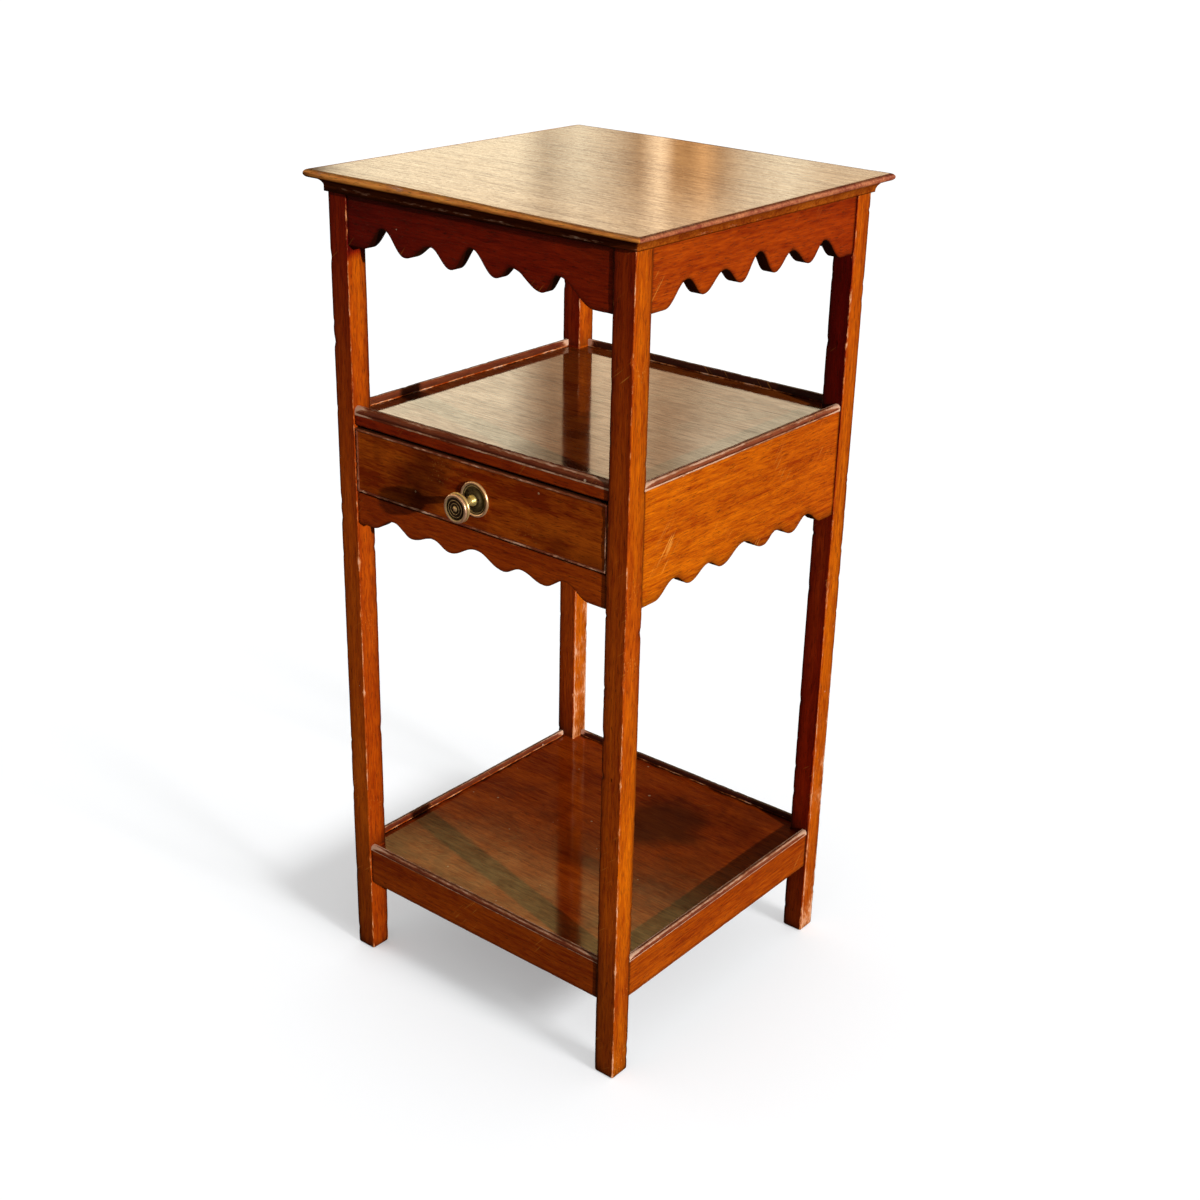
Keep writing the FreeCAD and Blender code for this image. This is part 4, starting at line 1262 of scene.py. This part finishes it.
# Ridges of the face: where each stands, and its section
FACE_RINGS = (4.9, 7.7)
RIDGE = ((-1.4, 0.0), (-0.45, 0.15), (0.0, 0.5), (0.45, 0.15))
FACE_FLOOR = 25.2
ridges = [(ring + step, FACE_FLOOR + rise) for ring in FACE_RINGS for step, rise in RIDGE]
face_profile = np.vstack([
    [(0.3, 26.6)],
    bent([(1.0, 26.5), (2.0, 26.1), (2.8, 25.4)] + ridges),
    [(9.9, 25.1), (10.0, 24.4), (0.3, 24.4)],
])
turned_piece(
    "turned_face", face_profile,
    arris=[
        (0, 0.8), (0.1, 0.6), (0.2, 0), (0.42, 0), (0.49, 0.8), (0.55, 0), (0.8, 0), (0.87, 0.8), (0.93, 0),
        (1, 0),
    ],
    grime_and_shade=[
        (0, 0.05), (0.1, 0.2), (0.2, 1), (0.42, 1), (0.49, 0.1), (0.55, 1), (0.8, 1), (0.87, 0.15), (0.93, 1),
        (1, 1),
    ],
    node_name="knob_face",
)


# Solids that keep their own shape


def finish_nodes(material, *names):
    """Give solids a material in all their slots."""
    for name in names:
        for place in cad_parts[name].material_slots:
            place.material = material


finish_nodes(MID_SHELF_WOOD, "mid_shelf")
finish_nodes(LOWER_SHELF_WOOD, "lower_shelf")
finish_nodes(DRAWER_WOOD, "drawer_front")
finish_nodes(
    LINING_WOOD, "drawer_side_left", "drawer_side_right", "drawer_back", "drawer_bottom",
    "drawer_runner_left", "drawer_runner_right", "drawer_guide_left", "drawer_guide_right",
    "drawer_stops", "top_glue_blocks",
)
finish_nodes(IRON, "knob_nut")


# Floor, light and camera

WHITE = (1.0, 1.0, 1.0)
CREAM = np.array([1.0, 0.84, 0.57])
AMBER = np.array([1.0, 0.50, 0.18])


def pale_floor():
    """A white floor that throws back little light.

    It glows a little to the camera, so that only shadow darkens it.
    """
    reach = 30.0
    corners = [(-reach, -reach, 0), (reach, -reach, 0), (reach, reach, 0), (-reach, reach, 0)]
    mesh = bpy.data.meshes.new("floor")
    mesh.from_pydata(corners, [], [(0, 1, 2, 3)])
    floor = bpy.data.objects.new("floor", mesh)
    bpy.context.scene.collection.objects.link(floor)
    material = bpy.data.materials.new("pale floor")
    material.use_nodes = True
    tree = material.node_tree
    tree.nodes.clear()
    paths = add(tree, "ShaderNodeLightPath")
    color = blended(paths["Is Camera Ray"], (0.16, 0.145, 0.13), (0.72, 0.735, 0.75))
    color = blended(paths["Is Glossy Ray"], color, (0.05, 0.03, 0.02))
    diffuse = add(tree, "ShaderNodeBsdfDiffuse", {"Color": color})
    glow = add(tree, "ShaderNodeEmission", {"Strength": paths["Is Camera Ray"] * 0.30})
    both = add(tree, "ShaderNodeAddShader", {0: diffuse[0], 1: glow[0]})
    add(tree, "ShaderNodeOutputMaterial", {"Surface": both[0]})
    mesh.materials.append(material)
    return floor


def add_sun(name, direction, strength, color, spread):
    """A lamp at great distance that shines along a direction, as wide as a spread in degrees."""
    lamp = bpy.data.lights.new(name, "SUN")
    lamp.energy = strength
    lamp.color = color
    lamp.angle = math.radians(spread)
    sun = bpy.data.objects.new(name, lamp)
    x, y, z = direction
    sun.rotation_euler = (math.atan2(math.hypot(x, y), -z), 0.0, math.atan2(y, x) - QUARTER)
    bpy.context.scene.collection.objects.link(sun)
    return sun


def lit_only(sun, objects, state):
    """Keep a lamp to some objects, or keep it off them."""
    chosen = bpy.data.collections.new(sun.name + " reach")
    for thing in objects:
        chosen.objects.link(thing)
    for entry in chosen.collection_objects:
        entry.light_linking.link_state = state
    sun.light_linking.receiver_collection = chosen


def floor_lamp(name, direction, strength, spread, blockers):
    """A lamp that lights only the floor, shaded only by some of the pieces."""
    lamp = add_sun(name, direction, strength, WHITE, spread)
    lit_only(lamp, [floor], "INCLUDE")
    shading = bpy.data.collections.new(name + " shade")
    for blocker in blockers:
        shading.objects.link(bpy.data.objects[blocker])
    lamp.light_linking.blocker_collection = shading


# The sky that gloss sees, as gaps between trees from left to right: place, brightness and how amber each is
LOW_GAPS = [
    (0.16, 0.94, 0.0), (0.211, 0.52, 0.1), (0.277, 0.78, 0.0), (0.334, 0.60, 0.2), (0.390, 0.36, 0.68),
    (0.428, 1.12, 0.40), (0.456, 0.44, 1.0), (0.485, 0.42, 1.0), (0.510, 0.70, 0.95), (0.541, 0.42, 0.75),
    (0.599, 0.66, 0.15), (0.675, 0.86, 0.0), (0.75, 0.68, 0.25),
]
HIGH_GAPS = [
    (0.10, 1.30, 0.0), (0.145, 1.20, 0.0), (0.185, 0.68, 0.25), (0.225, 0.37, 0.55), (0.280, 0.50, 0.5),
    (0.325, 1.12, 0.25), (0.445, 0.62, 0.5), (0.505, 0.62, 0.4), (0.565, 0.80, 0.2), (0.65, 0.86, 0.1),
]
# Level ways from the middle of the stand: straight behind it, and to its right, as the camera sees it
WAY_BEHIND = (-0.6259, 0.7799, 0.0)
WAY_BESIDE = (0.7799, 0.6259, 0.0)


def gap_stops(gaps):
    """Colour stops of the sky from its gaps."""
    return [(place, tuple(level * (CREAM * (1 - warm) + AMBER * warm))) for place, level, warm in gaps]


def mirrored_sky(height, across):
    """The sky in layers: low gaps, haze, high gaps, a clearing on the right, a hedge, and bright sky."""
    haze, clearing = 1.12 * (0.72 * CREAM + 0.28 * AMBER), 1.25 * CREAM
    hedge, bright_sky = (0.012, 0.010, 0.006), (0.69, 0.48, 0.165)
    low_sky = blended(between(height, 0.178, 0.196, 0.0, 0.55), toned(across, gap_stops(LOW_GAPS)), haze)
    sky = blended(between(height, 0.225, 0.265), low_sky, toned(across, gap_stops(HIGH_GAPS)))
    open_right = between(height, 0.302, 0.322) * between(across, 0.45, 0.56)
    sky = blended(open_right * 0.8, sky, clearing)
    sky = blended(between(height, 0.36, 0.44), sky, hedge)
    return blended(between(height - across * 0.066, 0.511, 0.527), sky, bright_sky)


def studio_world():
    """White to the camera, and a low even fill for the rest.

    Gloss sees a cream sky with warm gaps behind the stand.
    """
    world = bpy.data.worlds.new("studio")
    bpy.context.scene.world = world
    world.use_nodes = True
    tree = world.node_tree
    tree.nodes.clear()
    paths = add(tree, "ShaderNodeLightPath")
    way = add(tree, "ShaderNodeTexCoord")["Generated"]
    height = add(tree, "ShaderNodeSeparateXYZ", {0: way})[2]
    behind, beside = (
        add(tree, "ShaderNodeVectorMath", {0: way, 1: level_way}, operation="DOT_PRODUCT")["Value"]
        for level_way in (WAY_BEHIND, WAY_BESIDE)
    )
    bearing = beside / behind.at_least(0.05)
    across = add(tree, "ShaderNodeMapRange", {"Value": bearing, "From Min": -0.1, "From Max": 0.2})[0]
    strength = between(height, -0.02, 0.06, 0.05, 2.85) * between(behind, 0.1, 0.5, 0.4, 1.0)
    gloss = add(tree, "ShaderNodeBackground", {"Color": mirrored_sky(height, across), "Strength": strength})
    fill = add(tree, "ShaderNodeBackground", {"Color": (1.0, 0.94, 0.86), "Strength": 0.12})
    white = add(tree, "ShaderNodeBackground", {"Color": WHITE, "Strength": 1.0})
    by_gloss = paths["Is Glossy Ray"].capped_sum(paths["Is Transmission Ray"])
    unseen = add(tree, "ShaderNodeMixShader", {0: by_gloss, 1: fill[0], 2: gloss[0]})
    seen = add(tree, "ShaderNodeMixShader", {0: paths["Is Camera Ray"], 1: unseen[0], 2: white[0]})
    add(tree, "ShaderNodeOutputWorld", {"Surface": seen[0]})


def photo_camera():
    """The photo's viewpoint: place in millimetres, the picture's right, up and forward ways, and its lens."""
    right = (0.77404, 0.63280, 0.02056)
    up = (-0.26945, 0.29986, 0.91514)
    forward = (-0.57293, 0.71390, -0.40261)
    place = (976.03, -1208.65, 1069.56)
    focal_pixels, picture_pixels = 1738.84, 1200
    lens = bpy.data.cameras.new("camera")
    lens.sensor_width = 36.0
    lens.lens = focal_pixels / picture_pixels * lens.sensor_width
    camera = bpy.data.objects.new("camera", lens)
    rows = [(right[k], up[k], -forward[k], place[k] * MM) for k in range(3)]
    camera.matrix_world = Matrix(rows + [(0.0, 0.0, 0.0, 1.0)])
    bpy.context.scene.collection.objects.link(camera)
    bpy.context.scene.camera = camera


floor = pale_floor()
key = add_sun("key sun", (-0.946, 0.224, -0.235), strength=3.3, color=(1.0, 0.95, 0.88), spread=1.0)
lit_only(key, [floor], "EXCLUDE")
low_frame = ["worn_lower_rail_" + side for side in QUARTER_TURNS]
low_frame += ["worn_lower_strip_" + side for side in QUARTER_TURNS] + ["lower_shelf"]
legs = ["worn_" + leg_name + "_leg" for leg_name in LEG_TONES]
ACROSS_FLOOR = (-1.0, 0.03, -0.72)
STRAIGHT_DOWN = (0.0, 0.0, -1.0)
floor_lamp("floor sun", ACROSS_FLOOR, strength=1.0, spread=12.0, blockers=low_frame)
floor_lamp("floor soft sun", ACROSS_FLOOR, strength=1.6, spread=15.0, blockers=low_frame + legs)
floor_lamp("floor sky", STRAIGHT_DOWN, strength=1.4, spread=150.0, blockers=low_frame + legs)
studio_world()
photo_camera()
bpy.context.scene.view_settings.view_transform = "Standard"
